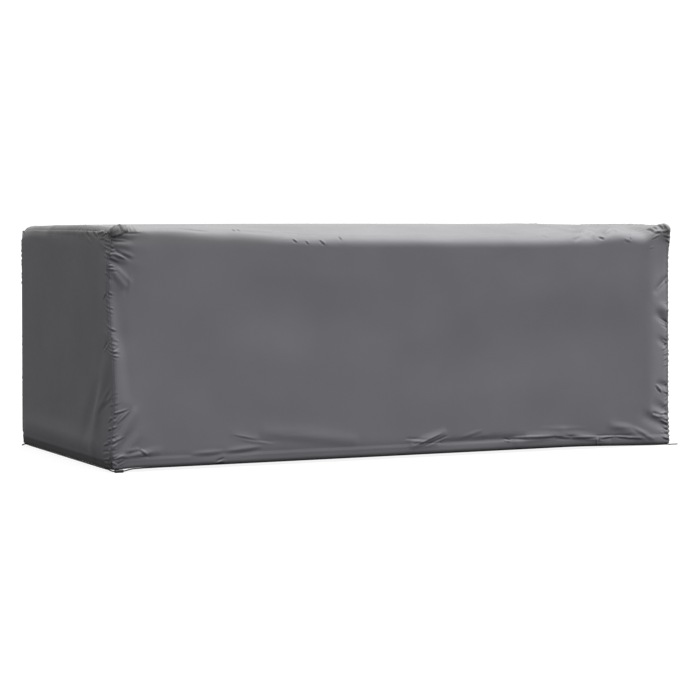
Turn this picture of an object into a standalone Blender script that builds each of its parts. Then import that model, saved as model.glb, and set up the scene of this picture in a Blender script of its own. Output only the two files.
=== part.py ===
"""A fitted cover for patio furniture, as it hangs over the furniture that it hides.

The cover is a hollow box of coated polyester, open at the bottom. One long panel makes the front
wall, the top and the back wall. Two end panels are sewn into it. A black drawcord runs along the
hem, and a cord lock sits on it under the left front corner.

The frame: +X runs along the length, the front wall faces -Y and +Z is up. The origin is the middle
of the flat top of the furniture, which bears the cover just under the cloth.
"""

import math

import bmesh
import bpy
import numpy as np

# Driving dimensions, in metres.
LENGTH = 2.60
WIDTH = 1.20
HEIGHT = 0.945
CLOTH = 0.0015
HEM_CLOTH = 0.0030
HEM_HEIGHT = 0.045
HEM_STEP = 0.006
TOP_CLEARANCE = 0.002
SEAM_GAP = 0.0006
CORD = 0.005
CORD_GAP = 0.0007
SHOULDER = 0.12

# The lock on the drawcord.
LOCK_LENGTH = 0.038
LOCK_DEPTH = 0.016
LOCK_HEIGHT = 0.012
LOCK_BORE = 0.0056
LOCK_BORE_SIDES = 16
LOCK_ROUNDING = 0.0025
LOCK_FROM_CORNER = 0.010
LOCK_GAP = 0.0009

# Derived sizes: the cloth's inner face is the surface that is shaped, and it is thickened outwards.
HALF_LENGTH = LENGTH / 2 - CLOTH
HALF_WIDTH = WIDTH / 2 - CLOTH
TOP = TOP_CLEARANCE
HEM = TOP + CLOTH - HEIGHT
WALL = TOP - HEM
SPAN = 2 * HALF_WIDTH
GIRTH = 2 * WALL + SPAN
SEAM_TURN = math.radians(45)

# The soft long edges of the top, and how it rises or hangs where the furniture doesn't bear it.
# Columns: x from the left end, droop of the front edge, front radius, back radius, crown.
EDGE_STATIONS = (
    (0.00, 0.000, 0.022, 0.030, 0.000),
    (0.17, 0.001, 0.030, 0.040, 0.006),
    (0.50, -0.002, 0.050, 0.045, 0.008),
    (0.90, 0.016, 0.072, 0.045, 0.008),
    (1.30, 0.029, 0.080, 0.050, 0.007),
    (1.50, 0.032, 0.082, 0.050, 0.006),
    (1.90, 0.020, 0.088, 0.050, 0.004),
    (2.24, 0.004, 0.076, 0.045, 0.002),
    (2.45, 0.000, 0.055, 0.040, 0.003),
    (2.60, 0.000, 0.024, 0.030, 0.000),
)

# How round the sewn edges are. The way runs up the front wall, over the top and down the back wall.
# Columns: way along the seam, radius at the left end, radius at the right end.
SEAM_ROUNDNESS = (
    (0.00, 0.016, 0.030),
    (0.12, 0.014, 0.050),
    (0.80, 0.014, 0.052),
    (0.95, 0.020, 0.022),
    (1.10, 0.040, 0.018),
    (1.55, 0.045, 0.020),
    (2.00, 0.045, 0.034),
    (2.15, 0.040, 0.040),
    (2.30, 0.048, 0.048),
    (3.10, 0.040, 0.040),
)

# The left front corner's ridge wanders to either side of a plumb line.
# Columns: height above the hem, shift towards the front wall.
CORNER_WANDER = (
    (0.00, 0.000),
    (0.10, -0.002),
    (0.28, 0.012),
    (0.42, 0.008),
    (0.55, -0.004),
    (0.70, -0.011),
    (0.80, -0.010),
    (0.90, 0.002),
    (0.95, 0.004),
)
WANDER_REACH = 0.16

# The right front corner is slack: the front wall turns in before it reaches the seam.
# Columns: height above the hem, how far the seam stands in from the front wall.
CORNER_SLACK = (
    (0.00, 0.000),
    (0.07, 0.010),
    (0.20, 0.028),
    (0.40, 0.032),
    (0.60, 0.035),
    (0.74, 0.033),
    (0.86, 0.022),
    (0.95, 0.000),
)
SLACK_REACH = 0.125
SLACK_OUTWARDS = 0.62

# The hem is drawn in by the cord at the ends, and the walls spread a little towards it.
# Columns: side of the cover, spread at the hem, hem turned under.
HEM_SHAPE = {
    "front": (0.005, 0.002),
    "back": (0.003, 0.004),
    "left": (0.001, 0.007),
    "right": (0.006, 0.008),
}
TURN_HEIGHT = 0.075

CROWN_RISE = 0.32
DROOP_REACH = 0.30
STEADY_SHARE = 0.5

# A fold keeps this share of its height at its ends.
FOLD_END_SHARE = 0.55

# An end panel leans like its nearest sewn edge: how fast the farther edges lose their say, and the
# distance under which an edge counts as touched.
EDGE_RULE_POWER = 3
EDGE_TOUCH = 0.0001

# The main folds. On a wall, along and up run from the left or front corner and from the hem; on the
# top they run from the left end and from the front edge. A fold below the surface is a trough.
# Columns: face, along, up, along at its end, up at its end, half width, height.
FOLDS = (
    # the fan below the left front corner of the top
    ("front", 0.00, 0.925, 0.160, 0.915, 0.022, 0.006),
    ("front", 0.00, 0.890, 0.150, 0.870, 0.024, 0.007),
    ("front", 0.00, 0.855, 0.115, 0.805, 0.026, 0.007),
    ("front", 0.00, 0.815, 0.070, 0.730, 0.028, 0.006),
    ("front", 0.03, 0.690, 0.075, 0.300, 0.045, -0.004),
    ("left", 0.05, 0.915, 0.190, 0.960, 0.026, 0.007),
    ("left", 0.02, 0.860, 0.120, 0.905, 0.026, 0.005),
    # the left front corner above the hem
    ("front", 0.00, 0.060, 0.100, 0.225, 0.026, 0.008),
    ("front", 0.04, 0.040, 0.130, 0.150, 0.026, 0.006),
    ("front", 0.02, 0.045, 0.200, 0.062, 0.018, 0.005),
    ("left", 0.06, 0.420, 0.230, 0.060, 0.060, 0.011),
    ("left", 0.14, 0.330, 0.330, 0.110, 0.050, -0.006),
    # the right front corner
    ("front", 2.600, 0.745, 2.520, 0.665, 0.028, -0.007),
    ("front", 2.600, 0.560, 2.530, 0.600, 0.030, 0.006),
    ("front", 2.600, 0.490, 2.520, 0.560, 0.026, -0.007),
    ("front", 2.600, 0.405, 2.530, 0.450, 0.026, -0.006),
    ("front", 2.600, 0.240, 2.525, 0.258, 0.022, -0.006),
    ("front", 2.600, 0.120, 2.510, 0.170, 0.030, -0.007),
    ("front", 2.600, 0.060, 2.460, 0.120, 0.034, -0.008),
    ("front", 2.290, 0.085, 2.520, 0.015, 0.034, 0.009),
    # along the front wall above the hem
    ("front", 0.520, 0.118, 0.640, 0.084, 0.026, 0.005),
    ("front", 0.660, 0.120, 1.050, 0.070, 0.035, 0.004),
    ("front", 1.330, 0.036, 1.470, 0.082, 0.026, 0.006),
    ("front", 1.460, 0.040, 1.850, 0.046, 0.022, -0.005),
    ("front", 1.830, 0.030, 2.040, 0.062, 0.034, 0.008),
    ("front", 2.040, 0.062, 2.260, 0.012, 0.030, 0.007),
    # wide, shallow hollows of the two walls that show
    ("front", 0.55, 0.620, 1.200, 0.560, 0.200, -0.004),
    ("front", 1.50, 0.420, 2.250, 0.500, 0.220, -0.005),
    ("left", 0.55, 0.250, 0.650, 0.750, 0.250, -0.004),
    # the left wall stands out above its hem
    ("left", 0.16, 0.085, 1.100, 0.095, 0.055, 0.006),
    # crossing folds on the right third of the top
    ("top", 2.050, 0.420, 2.200, 0.060, 0.050, 0.007),
    ("top", 2.330, 0.330, 2.190, 0.080, 0.045, 0.006),
    ("top", 2.340, 0.340, 2.440, 0.060, 0.045, 0.006),
    ("top", 2.200, 0.200, 2.320, 0.220, 0.045, -0.005),
    # the gathered corners of the top, where three seams meet
    ("top", -0.010, -0.010, 0.050, 0.025, 0.040, 0.030),
    ("top", 2.600, -0.005, 2.555, 0.040, 0.034, 0.016),
    ("top", 2.590, 0.080, 2.590, 0.700, 0.050, 0.007),
    ("top", -0.005, 1.200, 0.050, 1.160, 0.034, 0.006),
    ("top", 2.605, 1.205, 2.555, 1.160, 0.034, 0.010),
)

# Sections of the cloth, closer together where it bends. The first list runs up a wall from the hem
# to the top edge. The other two run from a long edge of the top, and from an end seam, to the middle.
WALL_SECTIONS = (0.0, HEM_HEIGHT, HEM_HEIGHT + HEM_STEP, 0.085, 0.13, 0.19, 0.27, 0.40, 0.54, 0.66,
                 0.74, 0.79, 0.832, 0.865, 0.892, 0.912, 0.930, WALL)
TOP_SECTIONS = (0.0, 0.015, 0.035, 0.06, 0.10, 0.16, 0.27, 0.42, HALF_WIDTH)
LENGTH_SECTIONS = (0.0, 0.008, 0.022, 0.045, 0.075, 0.115, 0.17, 0.25, 0.37, 0.53, 0.72, 0.92, 1.12,
                   LENGTH / 2)

COLLECTION = "patio_furniture_cover"
CUTTERS = "cutters"


def clear_scene():
    """Remove whatever the new file starts with."""
    for thing in list(bpy.data.objects):
        bpy.data.objects.remove(thing, do_unlink=True)


def new_collection(name):
    collection = bpy.data.collections.new(name)
    bpy.context.scene.collection.children.link(collection)
    return collection


def make_material(name, colour, roughness, metallic=0.0):
    material = bpy.data.materials.new(name)
    material.use_nodes = True
    shader = material.node_tree.nodes["Principled BSDF"]
    shader.inputs["Base Color"].default_value = (*colour, 1.0)
    shader.inputs["Roughness"].default_value = roughness
    shader.inputs["Metallic"].default_value = metallic
    return material


def smooth(t):
    """An even step from 0 to 1."""
    t = np.clip(t, 0.0, 1.0)
    return t * t * (3 - 2 * t)


def column(table, index, where):
    """One column of a table, read between its rows with soft changes."""
    places = np.array([row[0] for row in table])
    values = np.array([row[index] for row in table])
    rank = np.clip(np.searchsorted(places, where, side="right") - 1, 0, len(places) - 2)
    share = smooth((where - places[rank]) / (places[rank + 1] - places[rank]))
    return values[rank] + (values[rank + 1] - values[rank]) * share


def shoulder(way, radius):
    """A rounded edge. way runs from -SHOULDER on the wall to SHOULDER on the top.

    Returns the inset from the wall, the depth under the top and the tilt of the cloth."""
    straight = SHOULDER - radius
    arc = radius * math.pi / 2
    run = (way + SHOULDER) / (2 * SHOULDER) * (2 * straight + arc)
    tilt = np.clip((run - straight) / radius, 0.0, math.pi / 2)
    inset = radius * (1 - np.cos(tilt)) + np.maximum(run - straight - arc, 0.0)
    depth = radius * (1 - np.sin(tilt)) + np.maximum(straight - run, 0.0)
    return inset, depth, tilt


def across(girth, x):
    """The cover's cross section at x: up the front wall, over the top and down the back wall.

    Returns y, z and the outward direction's y and z."""
    from_left = x + HALF_LENGTH
    front = np.clip(girth - WALL, -SHOULDER, SHOULDER)
    back = np.clip(WALL + SPAN - girth, -SHOULDER, SHOULDER)
    inset_f, depth_f, tilt_f = shoulder(front, column(EDGE_STATIONS, 2, from_left))
    inset_b, depth_b, tilt_b = shoulder(back, column(EDGE_STATIONS, 3, from_left))
    past_f = np.maximum(girth - WALL - SHOULDER, 0.0)
    past_b = np.maximum(WALL + SPAN - girth - SHOULDER, 0.0)
    below_f = np.maximum(WALL - SHOULDER - girth, 0.0)
    below_b = np.maximum(girth - (WALL + SPAN + SHOULDER), 0.0)
    on_front = girth < WALL + HALF_WIDTH
    y = np.where(on_front, -HALF_WIDTH + inset_f + past_f, HALF_WIDTH - inset_b - past_b)
    z = np.where(on_front, TOP - depth_f - below_f, TOP - depth_b - below_b)
    tilt = np.where(on_front, tilt_f, tilt_b)
    return y, z, np.where(on_front, -np.cos(tilt), np.cos(tilt)), np.sin(tilt)


def seam_place(side, girth):
    """The seam between the long panel and an end panel: x and the edge's radius there."""
    radius = column(SEAM_ROUNDNESS, 1 if side < 0 else 2, girth)
    return side * (HALF_LENGTH - radius * (1 - math.cos(SEAM_TURN))), radius


def long_panel_places(along, girth):
    """Places and outward directions on the long panel. along runs from the left seam."""
    side = np.where(along < LENGTH / 2, -1.0, 1.0)
    from_seam = np.minimum(along, LENGTH - along)
    radius = np.where(side < 0, column(SEAM_ROUNDNESS, 1, girth), column(SEAM_ROUNDNESS, 2, girth))
    arc = radius * SEAM_TURN
    turn = np.maximum(SEAM_TURN - from_seam / radius, 0.0)
    past_arc = np.maximum(from_seam - arc, 0.0) * (HALF_LENGTH - radius) / (LENGTH / 2 - arc)
    x = side * (HALF_LENGTH - radius + radius * np.sin(turn) - past_arc)
    inset = radius * (1 - np.cos(turn))
    y, z, out_y, out_z = across(girth, x)
    places = np.stack([x, y - out_y * inset, z - out_z * inset], axis=-1)
    outward = np.stack([side * np.sin(turn), np.cos(turn) * out_y, np.cos(turn) * out_z], axis=-1)
    return places, outward


def end_panel_places(side, from_front, up):
    """Places and outward directions on an end panel.

    from_front is a grid of distances from the front edge, and up is a grid of heights."""

    def edge(girth):
        """The panel's sewn edge, a hair inside the seam."""
        x, radius = seam_place(side, girth)
        turn = SEAM_TURN - SEAM_GAP / 2 / radius
        y, z, out_y, out_z = across(girth, x)
        inset = radius * (1 - np.sin(turn))
        return y - out_y * inset, z - out_z * inset, out_y, out_z, radius, inset

    flat = from_front / SPAN
    high = up / WALL
    left = edge(up)
    right = edge(GIRTH - up)
    over = edge(WALL + from_front)
    bottom_front = edge(np.zeros_like(up))
    bottom_back = edge(np.full_like(up, GIRTH))
    top_front = edge(np.full_like(up, WALL))
    top_back = edge(np.full_like(up, WALL + SPAN))

    def patch(index):
        """The even fill between the four edges of the panel."""
        bottom = bottom_front[index] + (bottom_back[index] - bottom_front[index]) * flat
        rows = (1 - flat) * left[index] + flat * right[index]
        columns = (1 - high) * bottom + high * over[index]
        corners = (1 - high) * bottom + high * (
            (1 - flat) * top_front[index] + flat * top_back[index])
        return rows + columns - corners

    y = patch(0)
    z = patch(1)
    tilt = np.zeros((*y.shape, 3))
    weight_sum = np.zeros_like(y)
    for border in (left, right, over):
        distance = np.hypot(y - border[0], z - border[1])
        weight = 1 / (distance + EDGE_TOUCH) ** EDGE_RULE_POWER
        radius = border[4]
        reach = np.clip(radius - border[5] - distance, 0.0, None) / radius
        sink = radius * (1 - np.sqrt(1 - reach ** 2))
        tilt[..., 0] += weight * sink
        tilt[..., 1] += weight * reach * border[2]
        tilt[..., 2] += weight * reach * border[3]
        weight_sum += weight
    tilt /= weight_sum[..., None]
    places = np.stack([side * (HALF_LENGTH - tilt[..., 0]), y, z], axis=-1)
    lean = tilt[..., 1] ** 2 + tilt[..., 2] ** 2
    outward = np.stack([side * np.sqrt(1 - lean), tilt[..., 1], tilt[..., 2]], axis=-1)
    return places, outward


def on_face(face, along, up):
    """A point of the cover's sharp box from the distances that the tables use."""
    if face == "front":
        return np.array([along - LENGTH / 2, -HALF_WIDTH, HEM + up])
    if face == "left":
        return np.array([-HALF_LENGTH, -WIDTH / 2 + along, HEM + up])
    return np.array([along - LENGTH / 2, -WIDTH / 2 + up, TOP])


def fold_height(places):
    """How far the folds lift the cloth at each place."""
    height = np.zeros(places.shape[:-1])
    for face, along, up, along_end, up_end, half_width, lift in FOLDS:
        start = on_face(face, along, up)
        run = on_face(face, along_end, up_end) - start
        length = np.linalg.norm(run)
        share = np.clip(((places - start) @ run) / length ** 2, 0.0, 1.0)
        distance = np.linalg.norm(places - (start + share[..., None] * run), axis=-1)
        swell = FOLD_END_SHARE + (1 - FOLD_END_SHARE) * np.sin(math.pi * share)
        height += lift * swell * smooth(1 - distance / half_width)
    return height


def drape(places, outward):
    """Turn the plain rounded box into hanging cloth."""
    x, y, z = places[..., 0], places[..., 1], places[..., 2]
    draped = places + outward * fold_height(places)[..., None]
    depth = (TOP - z) / WALL

    # the front edge droops between its ends, and the cloth beside it follows, down to the steady
    # lower share of the wall
    from_front = np.hypot(y + HALF_WIDTH, TOP - z)
    droop = column(EDGE_STATIONS, 1, x + HALF_LENGTH) * smooth(1 - from_front / DROOP_REACH)
    crown = column(EDGE_STATIONS, 4, x + HALF_LENGTH) * smooth((y + HALF_WIDTH) / CROWN_RISE)
    draped[..., 2] += (crown - droop) * smooth((z - HEM) / WALL / STEADY_SHARE)

    # walls spread downwards, and the hem turns under
    tuck = smooth(1 - (z - HEM) / TURN_HEIGHT)
    for name, axis, sign in (("front", 1, -1), ("back", 1, 1), ("left", 0, -1), ("right", 0, 1)):
        spread, turned = HEM_SHAPE[name]
        facing = np.clip(sign * outward[..., axis], 0.0, 1.0) ** 2
        half = (HALF_LENGTH, HALF_WIDTH)[axis]
        nearness = np.clip(sign * places[..., axis] / half, 0.0, 1.0)
        draped[..., axis] += sign * spread * depth * nearness
        draped[..., axis] -= sign * turned * tuck * facing

    # the left front corner's ridge wanders sideways
    corner = np.hypot(x + HALF_LENGTH, y + HALF_WIDTH)
    wander = column(CORNER_WANDER, 1, z - HEM) * smooth(1 - corner / WANDER_REACH)
    draped[..., 0] += wander * math.cos(SEAM_TURN)
    draped[..., 1] -= wander * math.sin(SEAM_TURN)

    # the slack right front corner stands in from the front wall, and a little outwards
    corner = np.hypot(x - HALF_LENGTH, y + HALF_WIDTH)
    slack = column(CORNER_SLACK, 1, z - HEM) * smooth(1 - corner / SLACK_REACH)
    draped[..., 0] += SLACK_OUTWARDS * slack
    draped[..., 1] += slack
    return draped


def both_ways(half_sections, total):
    """Sections from one edge to the middle, repeated backwards to the other edge."""
    return np.array(list(half_sections) + [total - s for s in reversed(half_sections[:-1])])


def cloth_panel(name, columns, rows, places, material, collection, flip=False):
    """A panel of cloth: a grid of columns and rows laid on the draped places, and thickened.

    The cloth is doubled in the hem, so its thickness is twice as great there."""
    mesh = bpy.data.meshes.new(name)
    grid = bmesh.new()
    bmesh.ops.create_grid(grid, x_segments=columns - 1, y_segments=rows - 1, size=1.0)
    for vertex in grid.verts:
        i = round((vertex.co.x + 1) / 2 * (columns - 1))
        j = round((vertex.co.y + 1) / 2 * (rows - 1))
        vertex.co = places[i, j]
    if flip:
        bmesh.ops.reverse_faces(grid, faces=grid.faces)
    for face in grid.faces:
        face.smooth = True
    grid.to_mesh(mesh)
    grid.free()
    panel = bpy.data.objects.new(name, mesh)
    collection.objects.link(panel)
    mesh.materials.append(material)
    doubled = panel.vertex_groups.new(name="hem")
    hem_top = HEM + HEM_HEIGHT + HEM_STEP / 2
    doubled.add([v.index for v in mesh.vertices if v.co.z < hem_top], 1.0, "REPLACE")
    wall = panel.modifiers.new("thickness", "SOLIDIFY")
    wall.thickness = HEM_CLOTH
    wall.vertex_group = doubled.name
    wall.thickness_vertex_group = CLOTH / HEM_CLOTH
    wall.offset = 1.0
    return panel


def make_long_panel(material, collection):
    """The front wall, the top and the back wall, cut in one piece."""
    along = both_ways(LENGTH_SECTIONS, LENGTH)
    along[0] += SEAM_GAP / 2
    along[-1] -= SEAM_GAP / 2
    wall = np.array(WALL_SECTIONS)
    top = WALL + both_ways(TOP_SECTIONS, SPAN)
    girth = np.concatenate([wall, top[1:-1], GIRTH - wall[::-1]])
    grid = np.meshgrid(along, girth, indexing="ij")
    places = drape(*long_panel_places(*grid))
    return cloth_panel("body_panel", len(along), len(girth), places, material, collection)


def make_end_panel(name, side, material, collection):
    """An end wall, sewn in along both corners and the top."""
    over = both_ways(TOP_SECTIONS, SPAN)
    up = np.array(WALL_SECTIONS)
    grid = np.meshgrid(over, up, indexing="ij")
    places = drape(*end_panel_places(side, *grid))
    return cloth_panel(name, len(over), len(up), places, material, collection, flip=side < 0)


# The drawcord's route, all in one length: its free end at the right front corner, the front hem with
# the lock, the left end, a small loop at the far left corner, the back and the right end.
# Columns: side, way along it from its left or front corner, out from the hem, below the hem.
CORD_ROUTE = (
    ("front", 2.636, 0.006, 0.0085),
    ("front", 2.628, 0.010, 0.0088),
    ("front", 2.619, 0.006, 0.0085),
    ("front", 2.609, 0.004, 0.0060),
    ("front", 2.597, 0.001, 0.0020),
    ("front", 2.578, 0.000, 0.0000),
    ("front", 2.525, 0.000, 0.0000),
    ("front", 2.430, 0.000, 0.0000),
    ("front", 2.230, 0.000, 0.0000),
    ("front", 1.880, 0.000, 0.0000),
    ("front", 1.480, 0.000, 0.0000),
    ("front", 1.120, 0.000, 0.0000),
    ("front", 0.720, 0.000, 0.0000),
    ("front", 0.370, 0.000, 0.0000),
    ("front", 0.170, 0.000, 0.0000),
    ("front", 0.085, 0.000, 0.0010),
    ("lock", 1, 0.000, 0.0000),
    ("lock", -1, 0.000, 0.0000),
    ("left", 0.012, 0.001, 0.0015),
    ("left", 0.045, 0.000, 0.0000),
    ("left", 0.160, 0.000, 0.0000),
    ("left", 0.420, 0.000, 0.0000),
    ("left", 0.780, 0.000, 0.0000),
    ("left", 1.060, 0.000, 0.0000),
    ("left", 1.140, 0.000, 0.0000),
    ("left", 1.166, 0.003, 0.0030),
    ("left", 1.178, 0.006, 0.0080),
    ("left", 1.188, 0.007, 0.0095),
    ("back", 0.004, 0.004, 0.0080),
    ("back", 0.016, 0.001, 0.0030),
    ("back", 0.045, 0.000, 0.0000),
    ("back", 0.170, 0.000, 0.0000),
    ("back", 0.370, 0.000, 0.0000),
    ("back", 0.720, 0.000, 0.0000),
    ("back", 1.120, 0.000, 0.0000),
    ("back", 1.480, 0.000, 0.0000),
    ("back", 1.880, 0.000, 0.0000),
    ("back", 2.230, 0.000, 0.0000),
    ("back", 2.430, 0.000, 0.0000),
    ("back", 2.540, 0.000, 0.0000),
    ("back", 2.580, 0.000, 0.0000),
    ("right", 1.186, 0.000, 0.0000),
    ("right", 1.140, 0.000, 0.0000),
    ("right", 1.040, 0.000, 0.0000),
    ("right", 0.780, 0.000, 0.0000),
    ("right", 0.420, 0.000, 0.0000),
    ("right", 0.160, 0.000, 0.0000),
    ("right", 0.060, 0.000, 0.0000),
    ("right", 0.026, 0.000, 0.0000),
)
BEND_TO_SMOOTH = math.radians(9)

# The middle of a smooth bend from the two points beside it and the next one on either side.
NEAR_WEIGHT = 9 / 16
FAR_WEIGHT = -1 / 16


def hem_place(side, along):
    """The middle of the hem's lower rim, and the outward direction there."""
    longest = LENGTH if side in ("front", "back") else SPAN
    on_hem = np.array([min(along, longest)])
    zero = np.zeros(1)
    if side in ("front", "back"):
        places, outward = long_panel_places(on_hem, zero if side == "front" else zero + GIRTH)
    else:
        places, outward = end_panel_places(-1 if side == "left" else 1, on_hem, zero)
    outward[..., 2] = 0.0
    place = (drape(places, outward) + outward * HEM_CLOTH / 2)[0]
    place[0] += along - on_hem[0]
    return place, outward[0]


def lock_centre():
    """The lock hangs on the cord under the front hem, close to the left corner."""
    place = hem_place("front", LOCK_FROM_CORNER + LOCK_LENGTH / 2)[0]
    return np.array([place[0], place[1], HEM - LOCK_GAP - LOCK_HEIGHT / 2])


def cord_route():
    """The drawcord's points, with one more between two where it bends."""
    own = []
    for side, along, out, drop in CORD_ROUTE:
        if side == "lock":
            own.append(lock_centre() + np.array([along * (LOCK_LENGTH / 2 + CORD / 2), 0, 0]))
            continue
        place, outward = hem_place(side, along)
        place = place + outward * out
        place[2] = HEM - CORD_GAP - CORD / 2 - drop
        own.append(place)
    own = np.array(own)
    runs = np.diff(own, axis=0)
    runs /= np.linalg.norm(runs, axis=1)[:, None]
    bends = np.arccos(np.clip((runs[:-1] * runs[1:]).sum(axis=1), -1, 1))
    route = [own[0]]
    for k in range(len(own) - 1):
        bent = max(bends[max(k - 1, 0)], bends[min(k, len(bends) - 1)])
        in_lock = CORD_ROUTE[k][0] == "lock" and CORD_ROUTE[k + 1][0] == "lock"
        if bent > BEND_TO_SMOOTH and not in_lock and 0 < k < len(own) - 2:
            before, start, end, after = own[k - 1:k + 3]
            route.append(NEAR_WEIGHT * (start + end) + FAR_WEIGHT * (before + after))
        route.append(own[k + 1])
    return np.array(route)


def make_drawcord(material, collection):
    """The black cord, a round tube along its whole route."""
    curve = bpy.data.curves.new("hem_drawcord", "CURVE")
    curve.dimensions = "3D"
    curve.bevel_depth = CORD / 2
    curve.bevel_resolution = 2
    curve.use_fill_caps = True
    spline = curve.splines.new("POLY")
    route = cord_route()
    spline.points.add(len(route) - 1)
    for point, place in zip(spline.points, route):
        point.co = (*place, 1.0)
    cord = bpy.data.objects.new("hem_drawcord", curve)
    collection.objects.link(cord)
    curve.materials.append(material)
    return cord


def make_lock(material, collection, cutters):
    """The cord lock: a flat rounded barrel with the cord's hole along it."""
    centre = lock_centre()
    bpy.ops.mesh.primitive_cube_add(size=1.0, location=centre)
    lock = bpy.context.object
    lock.name = "cord_lock"
    lock.data.name = "cord_lock"
    lock.scale = (LOCK_LENGTH, LOCK_DEPTH, LOCK_HEIGHT)
    bpy.ops.object.transform_apply(location=False, rotation=False, scale=True)
    rounding = lock.modifiers.new("rounded edges", "BEVEL")
    rounding.width = LOCK_ROUNDING
    rounding.segments = 2
    bpy.ops.mesh.primitive_cylinder_add(vertices=LOCK_BORE_SIDES, radius=LOCK_BORE / 2,
                                        depth=LOCK_LENGTH + LOCK_DEPTH, location=centre,
                                        rotation=(0, math.pi / 2, 0))
    bore = bpy.context.object
    bore.name = "lock_bore"
    bore.hide_render = True
    bore.display_type = "WIRE"
    hole = lock.modifiers.new("cord hole", "BOOLEAN")
    hole.object = bore
    hole.solver = "EXACT"
    hole.operation = "DIFFERENCE"
    for thing, home in ((lock, collection), (bore, cutters)):
        for old in list(thing.users_collection):
            old.objects.unlink(thing)
        home.objects.link(thing)
    lock.data.materials.append(material)
    return lock


def main():
    clear_scene()
    cover = new_collection(COLLECTION)
    cutters = new_collection(CUTTERS)
    cloth = make_material("grey_polyester", (0.125, 0.122, 0.135), 0.55)
    black_cord = make_material("black_cord", (0.012, 0.012, 0.013), 0.80)
    black_plastic = make_material("black_plastic", (0.010, 0.010, 0.011), 0.45)
    make_long_panel(cloth, cover)
    make_end_panel("end_panel_left", -1, cloth, cover)
    make_end_panel("end_panel_right", 1, cloth, cover)
    make_drawcord(black_cord, cover)
    make_lock(black_plastic, cover, cutters)


main()
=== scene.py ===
# %% [markdown]
# # A fitted cover for patio furniture
#
# The object is a box-shaped cover of grey coated polyester, pulled over a long table and its chairs.
# One long panel of cloth makes the front wall, the top and the back wall. Two end panels are sewn
# into it, and the seams pucker. A black cord runs round the hem, with a lock on it at one corner.
#
# Its solids are already made and measured, and they give the size of everything here. This lesson
# adds the looks: fine cloth with its creases, the stitching, the braided cord and the lock.

# %% Load the measured model
import contextlib
import math

import bpy
import numpy as np
from mathutils import Matrix, Vector


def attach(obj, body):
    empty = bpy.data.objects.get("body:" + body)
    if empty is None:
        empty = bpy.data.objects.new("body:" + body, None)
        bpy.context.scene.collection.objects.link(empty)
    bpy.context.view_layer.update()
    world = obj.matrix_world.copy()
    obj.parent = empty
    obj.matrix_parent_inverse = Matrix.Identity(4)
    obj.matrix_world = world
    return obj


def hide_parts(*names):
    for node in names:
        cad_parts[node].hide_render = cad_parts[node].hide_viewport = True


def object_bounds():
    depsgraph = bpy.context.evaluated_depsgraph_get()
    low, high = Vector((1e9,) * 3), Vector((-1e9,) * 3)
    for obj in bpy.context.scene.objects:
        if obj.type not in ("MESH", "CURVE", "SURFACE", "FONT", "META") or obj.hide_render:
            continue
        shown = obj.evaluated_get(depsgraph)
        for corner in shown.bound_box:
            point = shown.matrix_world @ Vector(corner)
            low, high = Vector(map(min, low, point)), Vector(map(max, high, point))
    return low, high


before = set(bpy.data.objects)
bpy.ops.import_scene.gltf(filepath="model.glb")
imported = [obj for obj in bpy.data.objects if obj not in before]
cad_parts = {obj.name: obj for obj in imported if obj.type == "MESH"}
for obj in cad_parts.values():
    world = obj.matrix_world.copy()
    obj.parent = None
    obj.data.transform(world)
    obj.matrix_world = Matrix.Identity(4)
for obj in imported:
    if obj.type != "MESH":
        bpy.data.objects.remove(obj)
cad_box = [list(corner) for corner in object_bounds()]
print("nodes:", sorted(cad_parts))
print("box from", np.round(cad_box[0], 3), "to", np.round(cad_box[1], 3))

# %% [markdown]
# ## The cut
#
# A cover like this is cut from a roll as flat pieces, so it is described by the sizes of its cut. All
# sizes are in metres. The origin is the middle of the furniture's flat top, just under the cloth,
# +X runs along the cover and the front wall faces -Y.

# %% Sizes of the cut
LENGTH = 2.60
WIDTH = 1.20
HEIGHT = 0.945
CLOTH = 0.0015
TOP_CLEARANCE = 0.002
CORD = 0.005
HALF_LENGTH = LENGTH / 2 - CLOTH
HALF_WIDTH = WIDTH / 2 - CLOTH
TOP = TOP_CLEARANCE
HEM = TOP + CLOTH - HEIGHT
WALL = TOP - HEM
SPAN = 2 * HALF_WIDTH
GIRTH = 2 * WALL + SPAN
SEAM_TURN = math.radians(45)
SHOULDER = 0.12
print(f"long panel {LENGTH:.2f} by {GIRTH:.3f} m, end panels {SPAN:.3f} by {WALL:.3f} m")

# %% [markdown]
# ## The camera
#
# The camera stands low in front of the left corner, so that the long front wall, the short left end
# and a thin band of the top show. It could be placed by eye, but the cover's edges tell where it
# stood: a place, a turn from +Y, a dip below the horizon and a focal length that put them in place.

# %% Camera
IMAGE_SIDE = 696
SENSOR = 36.0
FOCAL_PIXELS = 2390.7
CAMERA_PLACE = (-4.4053, -9.5042, 0.1311)
CAMERA_TURN = math.radians(24.919)
CAMERA_DIP = math.radians(3.608)

bpy.ops.object.camera_add(location=CAMERA_PLACE, rotation=(math.pi / 2 - CAMERA_DIP, 0, -CAMERA_TURN))
camera = bpy.context.object
camera.data.sensor_width = SENSOR
camera.data.lens = FOCAL_PIXELS / IMAGE_SIDE * SENSOR
camera.data.clip_end = 200
bpy.context.scene.camera = camera
print(f"focal length {camera.data.lens:.1f} mm")

# %% [markdown]
# ## Floor and light
#
# The cover stands on a plain white floor in a bright, even studio. The light comes from above and
# from the right: the top is the brightest, the front wall is in the middle and the left end is the
# darkest. One soft sun from above, a small panel on the right and a sky that is dark below the horizon
# give that. A real white floor would light the walls from below and wash out their folds, so this one
# is kept from doing so, as a photographer would with black flags, and it glows, like a light table,
# so that the cover's shadow on it stays pale. A few small functions that make materials and nodes
# come first, because the floor, the sky and all finishes use them.

# %% Node helpers


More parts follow.
